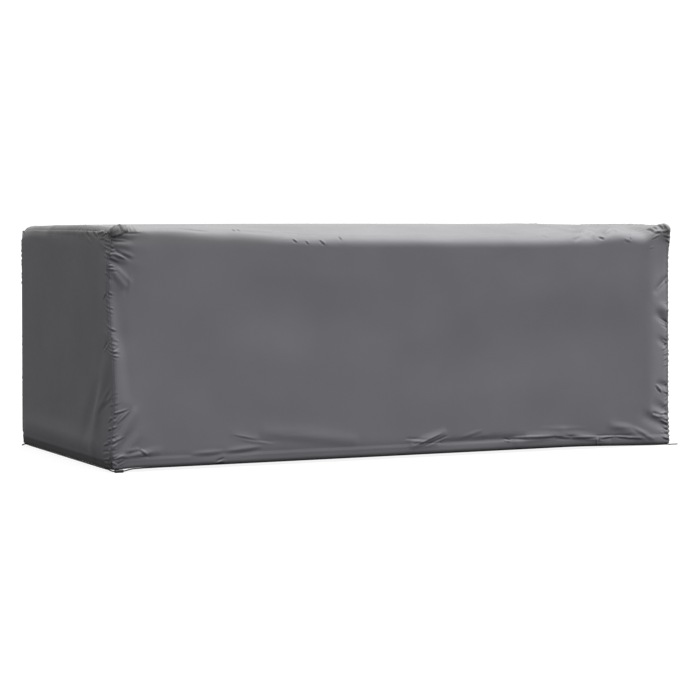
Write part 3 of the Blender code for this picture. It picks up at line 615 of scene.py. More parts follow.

# %% [markdown]
# ## The creases
#
# The solids have only the main folds. The fine creases make the cloth look real: the thread draws the
# seams up, so short slanted puckers stand along them, sharp lines fan out of the corners, and the
# cloth above the hem is dented. They could be painted as bump, but their shadows show, so they are
# real dents and ridges, placed on the flat cut of each piece.

# %% Creases that are placed one by one
# On the front and back, along and up run from the left seam and from the hem. On the top they run
# from the left seam and the front edge. On the ends they run from the front seam and from the hem.
# Columns: face, along, up, along at its end, up at its end, half width, height.
CREASES = (
    # the left front corner of the top: the end panel's side
    ("left", 0.270, 0.941, 0.212, 0.916, 0.010, 0.0042),
    ("left", 0.200, 0.944, 0.130, 0.920, 0.009, 0.0048),
    ("left", 0.118, 0.944, 0.108, 0.925, 0.008, 0.0040),
    ("left", 0.090, 0.932, 0.010, 0.950, 0.006, 0.0040),
    ("left", 0.086, 0.922, 0.012, 0.937, 0.006, 0.0045),
    ("left", 0.133, 0.933, 0.045, 0.931, 0.006, 0.0042),
    ("left", 0.113, 0.912, 0.050, 0.911, 0.006, 0.0030),
    ("left", 0.260, 0.915, 0.215, 0.890, 0.012, 0.0022),
    ("left", 0.056, 0.908, 0.002, 0.898, 0.0065, 0.0048),
    ("left", 0.051, 0.891, 0.004, 0.882, 0.0065, 0.0048),
    ("left", 0.051, 0.877, 0.001, 0.868, 0.0065, 0.0042),
    ("left", 0.032, 0.856, 0.000, 0.850, 0.0065, 0.0045),
    ("left", 0.049, 0.845, 0.000, 0.830, 0.008, 0.0045),
    ("left", 0.016, 0.822, 0.000, 0.812, 0.007, 0.0030),
    ("left", 0.027, 0.780, 0.000, 0.762, 0.007, 0.0042),
    # the same corner: the knot of the long panel
    ("top", 0.002, -0.016, 0.026, 0.018, 0.0075, 0.0048),
    ("top", 0.028, 0.026, 0.044, -0.004, 0.0075, 0.0060),
    ("top", 0.044, -0.005, 0.064, -0.003, 0.0070, 0.0048),
    ("top", 0.064, 0.022, 0.076, -0.008, 0.0065, -0.0055),
    ("top", 0.072, 0.034, 0.098, 0.006, 0.0080, 0.0060),
    ("top", 0.078, 0.062, 0.100, 0.040, 0.0090, 0.0045),
    ("top", 0.100, 0.020, 0.114, -0.006, 0.0070, -0.0045),
    ("top", 0.012, 0.050, 0.046, 0.052, 0.0090, 0.0045),
    # the fan below it
    ("front", 0.004, 0.924, 0.055, 0.936, 0.0075, 0.0055),
    ("front", 0.055, 0.936, 0.130, 0.935, 0.0060, 0.0022),
    ("front", 0.004, 0.924, 0.024, 0.914, 0.0060, 0.0048),
    ("front", 0.001, 0.908, 0.068, 0.902, 0.0080, 0.0046),
    ("front", 0.001, 0.899, 0.012, 0.892, 0.0060, 0.0048),
    ("front", 0.001, 0.884, 0.014, 0.874, 0.0060, 0.0048),
    ("front", 0.002, 0.866, 0.022, 0.861, 0.0060, 0.0045),
    ("front", 0.001, 0.851, 0.014, 0.842, 0.0060, 0.0048),
    ("front", 0.018, 0.872, 0.100, 0.834, 0.0100, 0.0052),
    ("front", 0.016, 0.852, 0.066, 0.831, 0.0085, 0.0045),
    ("front", 0.004, 0.837, 0.042, 0.819, 0.0075, 0.0046),
    ("front", 0.001, 0.805, 0.028, 0.799, 0.0060, 0.0042),
    ("front", 0.001, 0.791, 0.036, 0.786, 0.0060, 0.0038),
    ("front", 0.001, 0.765, 0.017, 0.752, 0.0060, 0.0038),
    ("front", 0.030, 0.800, 0.095, 0.730, 0.012, 0.0030),
    ("front", 0.078, 0.772, 0.066, 0.676, 0.010, -0.0022),
    # small knots down the left front seam
    ("front", 0.000, 0.700, 0.024, 0.690, 0.006, 0.0030),
    ("front", 0.002, 0.520, 0.034, 0.505, 0.006, 0.0035),
    ("front", 0.006, 0.470, 0.030, 0.486, 0.006, -0.0030),
    ("left", 0.012, 0.700, 0.060, 0.672, 0.008, 0.0030),
    ("left", 0.010, 0.520, 0.070, 0.545, 0.008, 0.0030),
    ("left", 0.020, 0.505, 0.085, 0.470, 0.009, -0.0035),
    # the corner above the hem, where folds rise to the right
    ("front", 0.000, 0.224, 0.066, 0.239, 0.0070, 0.0040),
    ("front", 0.000, 0.196, 0.029, 0.226, 0.0070, -0.0042),
    ("front", 0.018, 0.184, 0.065, 0.230, 0.0080, 0.0036),
    ("front", 0.001, 0.166, 0.018, 0.172, 0.0060, 0.0050),
    ("front", 0.004, 0.127, 0.021, 0.117, 0.0060, -0.0036),
    ("front", 0.000, 0.105, 0.016, 0.116, 0.0060, 0.0045),
    ("front", 0.000, 0.084, 0.020, 0.105, 0.0070, 0.0052),
    ("front", 0.006, 0.111, 0.052, 0.133, 0.0070, 0.0040),
    ("front", 0.052, 0.069, 0.115, 0.074, 0.0100, 0.0046),
    ("front", 0.117, 0.073, 0.149, 0.049, 0.0080, 0.0036),
    ("front", 0.000, 0.043, 0.020, 0.044, 0.0060, 0.0052),
    ("front", 0.018, 0.044, 0.044, 0.055, 0.0060, 0.0046),
    ("front", 0.000, 0.030, 0.022, 0.018, 0.0060, 0.0052),
    ("front", 0.020, 0.020, 0.050, 0.036, 0.0065, -0.0035),
    ("left", 0.030, 0.154, 0.000, 0.165, 0.0060, 0.0045),
    ("left", 0.040, 0.185, 0.004, 0.205, 0.0065, 0.0035),
    ("left", 0.016, 0.100, 0.000, 0.116, 0.0060, 0.0045),
    ("left", 0.080, 0.092, 0.004, 0.107, 0.0070, 0.0045),
    ("left", 0.090, 0.064, 0.008, 0.074, 0.0070, -0.0045),
    ("left", 0.076, 0.037, 0.000, 0.041, 0.0060, 0.0050),
    ("left", 0.082, 0.023, 0.026, 0.023, 0.0060, 0.0050),
    ("left", 0.022, 0.026, 0.000, 0.014, 0.0060, 0.0050),
    ("left", 0.100, 0.250, 0.020, 0.290, 0.0120, 0.0040),
    ("left", 0.030, 0.330, 0.150, 0.210, 0.0160, 0.0030),
    # the right front corner
    ("front", 2.598, 0.728, 2.526, 0.672, 0.007, -0.0050),
    ("front", 2.598, 0.742, 2.560, 0.716, 0.006, 0.0030),
    ("front", 2.598, 0.520, 2.546, 0.545, 0.007, -0.0045),
    ("front", 2.598, 0.504, 2.545, 0.520, 0.006, 0.0030),
    ("front", 2.598, 0.436, 2.560, 0.452, 0.006, -0.0045),
    ("front", 2.598, 0.420, 2.552, 0.404, 0.007, 0.0035),
    ("front", 2.526, 0.256, 2.556, 0.222, 0.0080, 0.0056),
    ("front", 2.598, 0.214, 2.560, 0.226, 0.0060, 0.0045),
    ("front", 2.598, 0.182, 2.560, 0.160, 0.0090, 0.0045),
    ("front", 2.508, 0.137, 2.550, 0.125, 0.0090, -0.0052),
    ("front", 2.545, 0.131, 2.598, 0.132, 0.0060, 0.0056),
    ("front", 2.550, 0.103, 2.598, 0.085, 0.0070, 0.0060),
    ("front", 2.564, 0.070, 2.598, 0.062, 0.0060, 0.0050),
    ("front", 2.564, 0.053, 2.598, 0.040, 0.0060, 0.0052),
    ("front", 2.556, 0.030, 2.598, 0.018, 0.0060, 0.0056),
    ("front", 2.299, 0.080, 2.403, 0.079, 0.0160, 0.0020),
    ("front", 2.404, 0.076, 2.512, 0.019, 0.0100, 0.0040),
    ("front", 1.923, 0.083, 2.174, 0.075, 0.0120, 0.0014),
    ("front", 1.764, 0.045, 1.800, 0.036, 0.0060, -0.0040),
    ("front", 1.802, 0.047, 2.008, 0.046, 0.0090, 0.0044),
    ("front", 2.008, 0.046, 2.091, 0.038, 0.0090, 0.0050),
    ("front", 2.091, 0.038, 2.222, 0.040, 0.0090, 0.0050),
    ("front", 2.234, 0.032, 2.311, 0.038, 0.0070, 0.0042),
    ("front", 2.311, 0.038, 2.450, 0.028, 0.0070, 0.0042),
    ("front", 2.222, 0.032, 2.218, 0.006, 0.0070, 0.0050),
    # dents along the front wall above the hem
    ("front", 0.520, 0.116, 0.636, 0.087, 0.007, 0.0014),
    ("front", 0.560, 0.100, 0.700, 0.076, 0.008, -0.0012),
    ("front", 0.329, 0.043, 0.475, 0.048, 0.0120, 0.0042),
    ("front", 0.475, 0.048, 0.642, 0.062, 0.0140, 0.0040),
    ("front", 0.439, 0.008, 0.475, 0.021, 0.0060, -0.0046),
    ("front", 1.342, 0.036, 1.462, 0.082, 0.007, 0.0030),
    ("front", 1.380, 0.030, 1.490, 0.070, 0.007, -0.0030),
    ("front", 1.290, 0.066, 1.400, 0.056, 0.008, -0.0020),
    ("front", 1.560, 0.060, 1.660, 0.086, 0.010, 0.0025),
    ("front", 1.860, 0.036, 2.060, 0.054, 0.014, 0.0016),
    ("front", 2.060, 0.054, 2.250, 0.020, 0.013, 0.0020),
    # marks along the left part of the front edge
    ("top", 0.273, 0.120, 0.500, 0.085, 0.020, 0.0045),
    ("top", 0.273, 0.021, 0.422, 0.009, 0.008, 0.0030),
    ("top", 0.526, 0.026, 0.541, 0.011, 0.007, 0.0045),
    ("top", 0.547, 0.027, 0.563, 0.013, 0.007, 0.0045),
    ("top", 0.560, 0.020, 0.726, 0.030, 0.011, 0.0046),
    ("top", 0.740, 0.050, 0.915, 0.042, 0.013, 0.0052),
    ("front", 0.786, 0.936, 0.804, 0.919, 0.007, 0.0042),
    ("front", 0.844, 0.930, 0.855, 0.914, 0.006, 0.0038),
    ("front", 0.906, 0.936, 0.930, 0.911, 0.007, 0.0042),
    ("top", 1.000, 0.014, 1.008, -0.012, 0.006, 0.0042),
    ("top", 1.300, 0.060, 1.560, 0.050, 0.014, 0.0025),
    ("top", 1.650, 0.060, 1.800, 0.100, 0.012, 0.0025),
    # crossing folds along the right part of the front edge
    ("top", 1.965, 0.036, 1.996, 0.016, 0.010, 0.0042),
    ("top", 1.984, 0.100, 2.080, 0.120, 0.018, 0.0045),
    ("top", 2.104, 0.000, 2.153, 0.027, 0.013, 0.0050),
    ("top", 2.153, 0.027, 2.248, 0.069, 0.016, 0.0058),
    ("top", 2.180, 0.120, 2.300, 0.100, 0.018, 0.0040),
    ("front", 2.236, 0.948, 2.262, 0.932, 0.008, 0.0055),
    ("top", 2.205, 0.016, 2.222, -0.004, 0.006, -0.0045),
    ("top", 2.269, 0.012, 2.335, 0.055, 0.015, 0.0060),
    ("top", 2.330, 0.060, 2.345, 0.020, 0.010, 0.0040),
    ("top", 2.396, 0.016, 2.402, 0.002, 0.006, -0.0045),
    ("front", 2.386, 0.926, 2.394, 0.915, 0.006, -0.0035),
    ("front", 2.359, 0.921, 2.388, 0.908, 0.009, 0.0016),
    ("top", 2.420, 0.070, 2.500, 0.080, 0.014, 0.0040),
    # the knot of the right front corner
    ("top", 2.508, 0.050, 2.520, -0.006, 0.009, 0.0065),
    ("front", 2.518, 0.937, 2.550, 0.930, 0.008, 0.0065),
    ("top", 2.528, 0.030, 2.538, 0.002, 0.007, 0.0052),
    ("top", 2.552, 0.030, 2.566, -0.002, 0.008, 0.0062),
    ("top", 2.566, 0.020, 2.580, -0.006, 0.007, 0.0052),
    ("front", 2.550, 0.929, 2.585, 0.936, 0.008, 0.0042),
    ("front", 2.500, 0.914, 2.536, 0.917, 0.007, 0.0036),
    ("front", 2.590, 0.905, 2.560, 0.915, 0.007, 0.0045),
    ("front", 2.596, 0.880, 2.570, 0.895, 0.007, 0.0045),
    ("front", 2.490, 0.872, 2.508, 0.874, 0.006, 0.0022),
)
print(len(CREASES), "creases placed by hand")

# %% [markdown]
# The puckers are too many to place one by one. Each stretch of seam has a row that says how close
# together and how deep they are, and a loop sets them along it with uneven steps. The same pucker
# runs over the seam, so it is placed on both pieces of cloth.

# %% Puckered seams
# The way runs up the front seam, over the top and down the back seam.
# Columns: end, way from, way to, step, reach on the long panel and on the end panel, rise on each for
# every metre away from the seam, half width, height.
PUCKERED_STRETCHES = (
    ("left", 0.010, 0.130, 0.030, 0.022, 0.040, 0.30, -0.20, 0.0060, 0.0024),
    ("left", 0.130, 0.300, 0.034, 0.020, 0.034, 0.60, -0.30, 0.0055, 0.0020),
    ("left", 0.300, 0.440, 0.040, 0.014, 0.020, 0.30, -0.30, 0.0050, 0.0012),
    ("left", 0.440, 0.560, 0.016, 0.026, 0.060, -0.30, 0.40, 0.0060, 0.0030),
    ("left", 0.560, 0.740, 0.026, 0.016, 0.040, -0.50, 0.40, 0.0055, 0.0020),
    ("left", 0.740, 0.935, 0.0150, 0.012, 0.018, -0.62, 0.30, 0.0050, 0.0024),
    ("left", 0.960, 1.330, 0.022, 0.040, 0.030, 0.50, -0.50, 0.0070, 0.0032),
    ("left", 1.330, 2.140, 0.034, 0.030, 0.024, 0.30, -0.30, 0.0070, 0.0022),
    ("left", 2.160, 2.400, 0.018, 0.036, 0.036, 0.50, 0.50, 0.0065, 0.0034),
    ("left", 2.400, 3.070, 0.032, 0.024, 0.024, -0.30, -0.30, 0.0060, 0.0020),
    ("right", 0.010, 0.140, 0.017, 0.034, 0.040, 0.30, 0.40, 0.0060, 0.0036),
    ("right", 0.140, 0.460, 0.024, 0.034, 0.034, -0.25, 0.30, 0.0060, 0.0028),
    ("right", 0.460, 0.740, 0.030, 0.024, 0.030, 0.30, 0.30, 0.0060, 0.0022),
    ("right", 0.740, 0.942, 0.018, 0.022, 0.044, -0.45, 0.40, 0.0055, 0.0018),
    ("right", 0.960, 1.400, 0.024, 0.034, 0.034, 0.40, -0.40, 0.0070, 0.0030),
    ("right", 1.400, 2.140, 0.036, 0.026, 0.028, 0.30, -0.30, 0.0070, 0.0020),
    ("right", 2.160, 2.420, 0.018, 0.034, 0.038, 0.50, 0.50, 0.0065, 0.0034),
    ("right", 2.420, 3.070, 0.030, 0.026, 0.026, -0.30, -0.30, 0.0060, 0.0022),
)
PUCKER_SEED = 11
PUCKER_SIZES = (0.55, 1.35)
PUCKER_LEANS = (0.6, 1.5)
PUCKER_WIDTHS = (0.8, 1.25)
PUCKER_STEPS = (0.6, 1.4)
TROUGH_SHIFT = 1.15
TROUGH_SHARE = 0.75
SEWN_REACH = 0.012

# Where three seams meet at the back, the cloth is gathered into ridges that fan out of the corner.
# Columns: piece, centre on its flat cut, inner and outer reach, count, first and last turn in degrees,
# half width, height.
GATHERS = (
    ("long", 0.0, WALL + SPAN, 0.012, 0.080, 4, -60, 60, 0.0075, 0.0045),
    ("left", SPAN, WALL, 0.015, 0.090, 3, 195, 255, 0.0080, 0.0040),
    ("long", LENGTH, WALL + SPAN, 0.012, 0.080, 4, 120, 240, 0.0075, 0.0055),
    ("right", SPAN, WALL, 0.015, 0.090, 3, 195, 255, 0.0080, 0.0050),
)
GATHER_SWAY = 6.0
GATHER_STARTS = (0.6, 1.6)
GATHER_ENDS = (0.6, 1.25)
GATHER_WIDTHS = (0.75, 1.3)
GATHER_SIZES = (0.5, 1.3)


def on_cut(face, along, up):
    """The piece that a face belongs to, and the place on its flat cut."""
    if face == "front":
        return "long", along, up
    if face == "top":
        return "long", along, WALL + up
    if face == "back":
        return "long", along, GIRTH - up
    return face, along, up


def end_seam_place(way):
    """A place on an end panel's sewn edge, the way along the edge and the way into the cloth."""
    if way < WALL:
        return np.array([0.0, way]), np.array([0.0, 1.0]), np.array([1.0, 0.0])
    if way < WALL + SPAN:
        return np.array([way - WALL, WALL]), np.array([1.0, 0.0]), np.array([0.0, -1.0])
    return np.array([SPAN, GIRTH - way]), np.array([0.0, -1.0]), np.array([-1.0, 0.0])


def from_seams(piece, a, b):
    """Distance to the nearest sewn edge on the flat cut."""
    if piece == "long":
        return np.minimum(a, LENGTH - a)
    return np.minimum(np.minimum(a, SPAN - a), WALL - b)


def add_crease(rows, a, b, end_a, end_b, half_width, lift, at_seam):
    """A ridge with a shallower trough on its lower side, or a trough with a ridge."""
    run_a, run_b = end_a - a, end_b - b
    length = math.hypot(run_a, run_b)
    shift = TROUGH_SHIFT * half_width / length * (-1 if run_a > 0 else 1)
    shift_a, shift_b = -run_b * shift, run_a * shift
    rows.append((a, b, end_a, end_b, half_width, lift, at_seam))
    rows.append((a + shift_a, b + shift_b, end_a + shift_a, end_b + shift_b, half_width,
                 -lift * TROUGH_SHARE, at_seam))


def place_creases():
    """Every crease of each piece: its start, end, half width, height and 1 if it starts at a seam."""
    placed = {"long": [], "left": [], "right": []}
    for face, along, up, along_end, up_end, half_width, height in CREASES:
        piece, a, b = on_cut(face, along, up)
        end_a, end_b = on_cut(face, along_end, up_end)[1:]
        at_seam = from_seams(piece, np.array([a]), np.array([b]))[0] < SEWN_REACH
        add_crease(placed[piece], a, b, end_a, end_b, half_width, height, at_seam)
    uneven = np.random.default_rng(PUCKER_SEED)
    for end, start, stop, step, reach, end_reach, rise, end_rise, half_width, height in PUCKERED_STRETCHES:
        seam = 0.0 if end == "left" else LENGTH
        inwards = 1.0 if end == "left" else -1.0
        way = start
        while way < stop:
            size = uneven.uniform(*PUCKER_SIZES)
            lean = uneven.uniform(*PUCKER_LEANS)
            width = half_width * uneven.uniform(*PUCKER_WIDTHS)
            lift = height * size
            long_reach = reach * size
            add_crease(placed["long"], seam, way, seam + inwards * long_reach,
                       way + rise * lean * long_reach, width, lift, True)
            place, onwards, into = end_seam_place(way)
            tip = place + end_reach * size * (into + onwards * end_rise * lean)
            add_crease(placed[end], *place, *tip, width, lift, True)
            way += step * uneven.uniform(*PUCKER_STEPS)
    for piece, a, b, inner, outer, count, first, last, half_width, height in GATHERS:
        for turn in np.linspace(first, last, count) + uneven.uniform(-GATHER_SWAY, GATHER_SWAY, count):
            near = inner * uneven.uniform(*GATHER_STARTS)
            far = outer * uneven.uniform(*GATHER_ENDS)
            along, up = math.cos(math.radians(turn)), math.sin(math.radians(turn))
            width = half_width * uneven.uniform(*GATHER_WIDTHS)
            lift = height * uneven.uniform(*GATHER_SIZES)
            add_crease(placed[piece], a + near * along, b + near * up, a + far * along, b + far * up,
                       width, lift, True)
    return {piece: np.array(rows) for piece, rows in placed.items()}


placed_creases = place_creases()
print({piece: len(rows) for piece, rows in placed_creases.items()}, "creases in all")

# %% [markdown]
# Two more things dent the cloth everywhere: it dips into the seams, where the pieces are joined, and
# it is drawn in along the row of stitches that holds the hem. The hem is folded double, so it stands
# out by one thickness of cloth below that row.

# %% Height of the cloth over its inner face
SEAM_DIP = 0.0016
SEAM_DIP_REACH = 0.007
TOPSTITCH_FROM_SEAM = 0.009
HEM_STITCH_HEIGHT = 0.040
STITCH_DIP = 0.0011
STITCH_DIP_REACH = 0.0045
HEM_STEP = 0.004
CREST_POWER = 1.3
HIGHEST_CREASE = 0.0058
CLOSED_REACH = 0.006
HEM_DIP = 0.0022
HEM_DIP_REACH = 0.0075
LOOSE_END_POWER = 0.6
NARROWEST = 0.6


def beside_crease(crease, a, b, reach):
    """The places that a crease can reach, their share of its way and their distance from it."""
    start_a, start_b, end_a, end_b = crease[:4]
    near = ((a > min(start_a, end_a) - reach) & (a < max(start_a, end_a) + reach)
            & (b > min(start_b, end_b) - reach) & (b < max(start_b, end_b) + reach))
    run_a, run_b = end_a - start_a, end_b - start_b
    way_a, way_b = a[near] - start_a, b[near] - start_b
    share = np.clip((way_a * run_a + way_b * run_b) / (run_a ** 2 + run_b ** 2), 0.0, 1.0)
    return near, share, np.hypot(way_a - share * run_a, way_b - share * run_b)


def crease_height(piece, a, b):
    """How far the creases lift the cloth at places on the flat cut."""
    height = np.zeros_like(a)
    for crease in placed_creases[piece]:
        half_width, lift, sewn = crease[4:]
        near, share, distance = beside_crease(crease, a, b, half_width)
        fade = 1 - share ** 2 if sewn else np.sin(math.pi * share) ** LOOSE_END_POWER
        width = half_width * (NARROWEST + (1 - NARROWEST) * fade)
        height[near] += lift * fade * np.clip(1 - distance / width, 0.0, 1.0) ** CREST_POWER
    closed = smooth(from_seams(piece, a, b) / CLOSED_REACH)
    return closed * HIGHEST_CREASE * np.tanh(height / HIGHEST_CREASE)


def above_hem(piece, b):
    """Height above the nearest hem on the flat cut."""
    return np.minimum(b, GIRTH - b) if piece == "long" else b


def cloth_height(piece, a, b):
    """The outer face's height over the inner face, creases and stitched lines included."""
    seam = from_seams(piece, a, b)
    hem = above_hem(piece, b)
    height = CLOTH + crease_height(piece, a, b)
    height += CLOTH * smooth((HEM_STITCH_HEIGHT + HEM_STEP / 2 - hem) / HEM_STEP)
    height -= SEAM_DIP * (1 - smooth(seam / SEAM_DIP_REACH))
    height -= HEM_DIP * smooth(1 - np.abs(hem - HEM_STITCH_HEIGHT) / HEM_DIP_REACH)
    if piece == "long":
        height -= STITCH_DIP * smooth(1 - np.abs(seam - TOPSTITCH_FROM_SEAM) / STITCH_DIP_REACH)
    return height


# %% The cloth's outer face
DIFFERENCE = 0.0004


def outer_face(piece, a, b):
    """Places and normals of the cloth's outer face for places on the flat cut."""
    wide = LENGTH if piece == "long" else SPAN
    high = GIRTH if piece == "long" else WALL
    step_a = np.where(a < wide / 2, DIFFERENCE, -DIFFERENCE)
    step_b = np.where(b < high / 2, DIFFERENCE, -DIFFERENCE)
    here = inner_face(piece, a, b)
    slope_a = (inner_face(piece, a + step_a, b) - here) / step_a[:, None]
    slope_b = (inner_face(piece, a, b + step_b) - here) / step_b[:, None]
    normal = np.cross(slope_a, slope_b)
    normal /= np.linalg.norm(normal, axis=1)[:, None]
    if piece == "left":
        normal = -normal
    return here + normal * cloth_height(piece, a, b)[:, None], normal


# %% [markdown]
# ## Cutting and draping the panels
#
# Each panel starts as a flat grid of its cut size. A uniform grid fine enough for the puckers would
# need millions of faces, so the cloth is cut finer only where it creases: a face is subdivided while
# it is larger than the detail around it. The flat places become the UV map, every point is then moved
# to where the drape puts it, and Solidify gives the sheet its thickness.

# %% How fine the grid has to be
COARSE = 0.026
FINEST = 0.0034
GROWTH = 0.20
SEAM_FINE_REACH = 0.013
SEAM_SIZE = FINEST * 1.1
HEM_SIZE = 0.0085
HEM_FINE_REACH = 0.013
FRONT_ROLL_SIZE = 0.0092
FRONT_ROLL_REACH = 0.07
BACK_ROLL_SIZE = 0.0230
BACK_ROLL_REACH = 0.04
SMALL_CREASE_SHARE = 0.46
BACK_FROM = 0.35
BACK_SIZE = 0.0062


def fine_within(size, distance, reach, growth=GROWTH):
    """A size that holds up to the reach and grows from there."""
    return size + growth * np.maximum(distance - reach, 0.0)


def wanted_size(piece, a, b):
    """The size of face that the detail near each place asks for."""
    wanted = fine_within(SEAM_SIZE, from_seams(piece, a, b), SEAM_FINE_REACH)
    from_row = np.abs(above_hem(piece, b) - HEM_STITCH_HEIGHT)
    wanted = np.minimum(wanted, fine_within(HEM_SIZE, from_row, HEM_FINE_REACH))
    if piece == "long":
        front_edge, back_edge = np.abs(b - WALL), np.abs(b - WALL - SPAN)
        wanted = np.minimum(wanted, fine_within(FRONT_ROLL_SIZE, front_edge, FRONT_ROLL_REACH))
        wanted = np.minimum(wanted, fine_within(BACK_ROLL_SIZE, back_edge, BACK_ROLL_REACH))
    for crease in placed_creases[piece]:
        half_width = crease[4]
        near, _share, distance = beside_crease(crease, a, b, half_width + COARSE / GROWTH)
        size = max(half_width * SMALL_CREASE_SHARE, FINEST)
        asked = fine_within(size, distance, half_width, 2 * GROWTH)
        wanted[near] = np.minimum(wanted[near], asked)
    if piece == "long":
        wanted = np.where(b > WALL + BACK_FROM, np.maximum(wanted, BACK_SIZE), wanted)
    return wanted


# %% Laying out a flat piece of cloth
ROUNDS = 3
TOO_LARGE = 1.45


@contextlib.contextmanager
def editing():
    """Edit mode with everything selected, and object mode again after it."""
    bpy.ops.object.mode_set(mode="EDIT")
    bpy.ops.mesh.select_all(action="SELECT")
    yield
    bpy.ops.object.mode_set(mode="OBJECT")


def select_only(thing):
    """Make one object the active and only selected one."""
    bpy.ops.object.select_all(action="DESELECT")
    thing.select_set(True)
    bpy.context.view_layer.objects.active = thing


def flat_cut(name, piece, wide, high):
    """A flat grid of the piece's cut size, finer where the cloth will crease."""
    columns, rows = round(wide / COARSE), round(high / COARSE)
    bpy.ops.mesh.primitive_grid_add(x_subdivisions=columns, y_subdivisions=rows, size=1)
    cloth = bpy.context.object
    cloth.name = cloth.data.name = name
    with editing():
        bpy.ops.transform.resize(value=(wide, high, 1))
        bpy.ops.transform.translate(value=(wide / 2, high / 2, 0))
        bpy.ops.mesh.select_mode(type="FACE")
    for _ in range(ROUNDS):
        faces = cloth.data.polygons
        middle = np.empty(3 * len(faces))
        area = np.empty(len(faces))
        faces.foreach_get("center", middle)
        faces.foreach_get("area", area)
        middle = middle.reshape(-1, 3)
        large = np.sqrt(area) > TOO_LARGE * wanted_size(piece, middle[:, 0], middle[:, 1])
        bpy.ops.object.mode_set(mode="EDIT")
        bpy.ops.mesh.select_all(action="DESELECT")
        bpy.ops.object.mode_set(mode="OBJECT")
        faces.foreach_set("select", large)
        bpy.ops.object.mode_set(mode="EDIT")
        bpy.ops.mesh.subdivide(number_cuts=1)
        bpy.ops.object.mode_set(mode="OBJECT")
    return cloth


# %% Rubbed places, a lighter top and painted shade
RUBBED_HEIGHT = 0.005
RUBBED_REACH = 0.010
RUBBED_SEAM = 0.6
# The top is painted lighter and greyer with height: partly sun fade, partly painted light from above.
LIGHTER_TOP_FROM = -0.09
LIGHTER_TOP_OVER = 0.09
# Painted shade: the cloth's colour is darkened at the hem, along the two outer seams, along the left end's
# top edge and round the top's left front corner, where shade falls.
HEM_SHADE = {"left": 0.72, "long": 0.14, "right": 0.26}
HEM_SHADE_HEIGHT = 0.047
HEM_SHADE_EDGE = 0.022
# The hem's lowest rim is painted black, which gives a dark line along its lower edge.
BLACK_RIM_REACH = {"left": 0.011, "long": 0.009, "right": 0.009}
SEAM_SHADE = 0.45
SEAM_SHADE_REACH = 0.028
SEAM_SHADE_TOP = 0.06
SEAM_SHADE_EDGE = 0.02
TOP_EDGE_SHADE = 0.34
TOP_EDGE_SHADE_REACH = {"left": 0.030, "long": 0.070}
TOP_EDGE_SHADE_END = 0.1
CORNER_SHADE = 0.48
CORNER_SHADE_REACH = 0.075
CORNER_BELOW_EDGE = 2.5


def close_to(distance, reach):
    """1 up to half of the reach, and from there an even step down to 0."""
    return smooth(2 - 2 * distance / reach)


# painted shade at the hem, the outer seams and round the left end's top, and a black rim
def shade_to_paint(piece, a, b):
    """How much shade is painted on the cloth: at the hem, along the outer seams and round the left end's
    top, with a black rim along the hem.
    """
    above = above_hem(piece, b)
    hem = HEM_SHADE[piece] * smooth((HEM_SHADE_HEIGHT - above) / HEM_SHADE_EDGE)
    below_top = smooth((WALL - SEAM_SHADE_TOP - b) / SEAM_SHADE_EDGE)
    if piece == "left":
        from_seam, outer = SPAN - a, 1.0
    elif piece == "right":
        from_seam, outer = a, below_top
    else:
        from_seam = np.where(b > GIRTH / 2, a, LENGTH - a)
        outer = np.maximum(smooth((b - WALL - SPAN) / SEAM_SHADE_EDGE), below_top)
    seam = SEAM_SHADE * outer * close_to(from_seam, SEAM_SHADE_REACH)
    painted_shade = np.maximum(np.maximum(hem, close_to(above, BLACK_RIM_REACH[piece])), seam)
    if piece == "left":
        painted_shade = np.maximum(painted_shade, TOP_EDGE_SHADE * close_to(WALL - b, TOP_EDGE_SHADE_REACH[piece]))
    elif piece == "long":
        top = TOP_EDGE_SHADE * close_to(np.maximum(a, WALL - b), TOP_EDGE_SHADE_REACH[piece])
        top *= smooth((WALL + SPAN - b) / TOP_EDGE_SHADE_END)
        from_corner = np.hypot(a, np.where(b < WALL, CORNER_BELOW_EDGE * (WALL - b), b - WALL))
        corner = CORNER_SHADE * close_to(from_corner, CORNER_SHADE_REACH)
        painted_shade = np.maximum(painted_shade, np.maximum(top, corner))
    return painted_shade


# %% Draping a flat piece
CLOSER_AT_SEAM = 0.45


def closer_to_edge(distance):
    """Points within the finest strip beside a seam, moved closer to it."""
    inside = distance < SEAM_FINE_REACH
    share = distance / SEAM_FINE_REACH
    return np.where(inside, distance * (CLOSER_AT_SEAM + (1 - CLOSER_AT_SEAM) * share), distance)


def store(mesh, title, values):
    """Keep one number for every point, for the finish to read."""
    mesh.attributes.new(title, "FLOAT", "POINT").data.foreach_set("value", values)


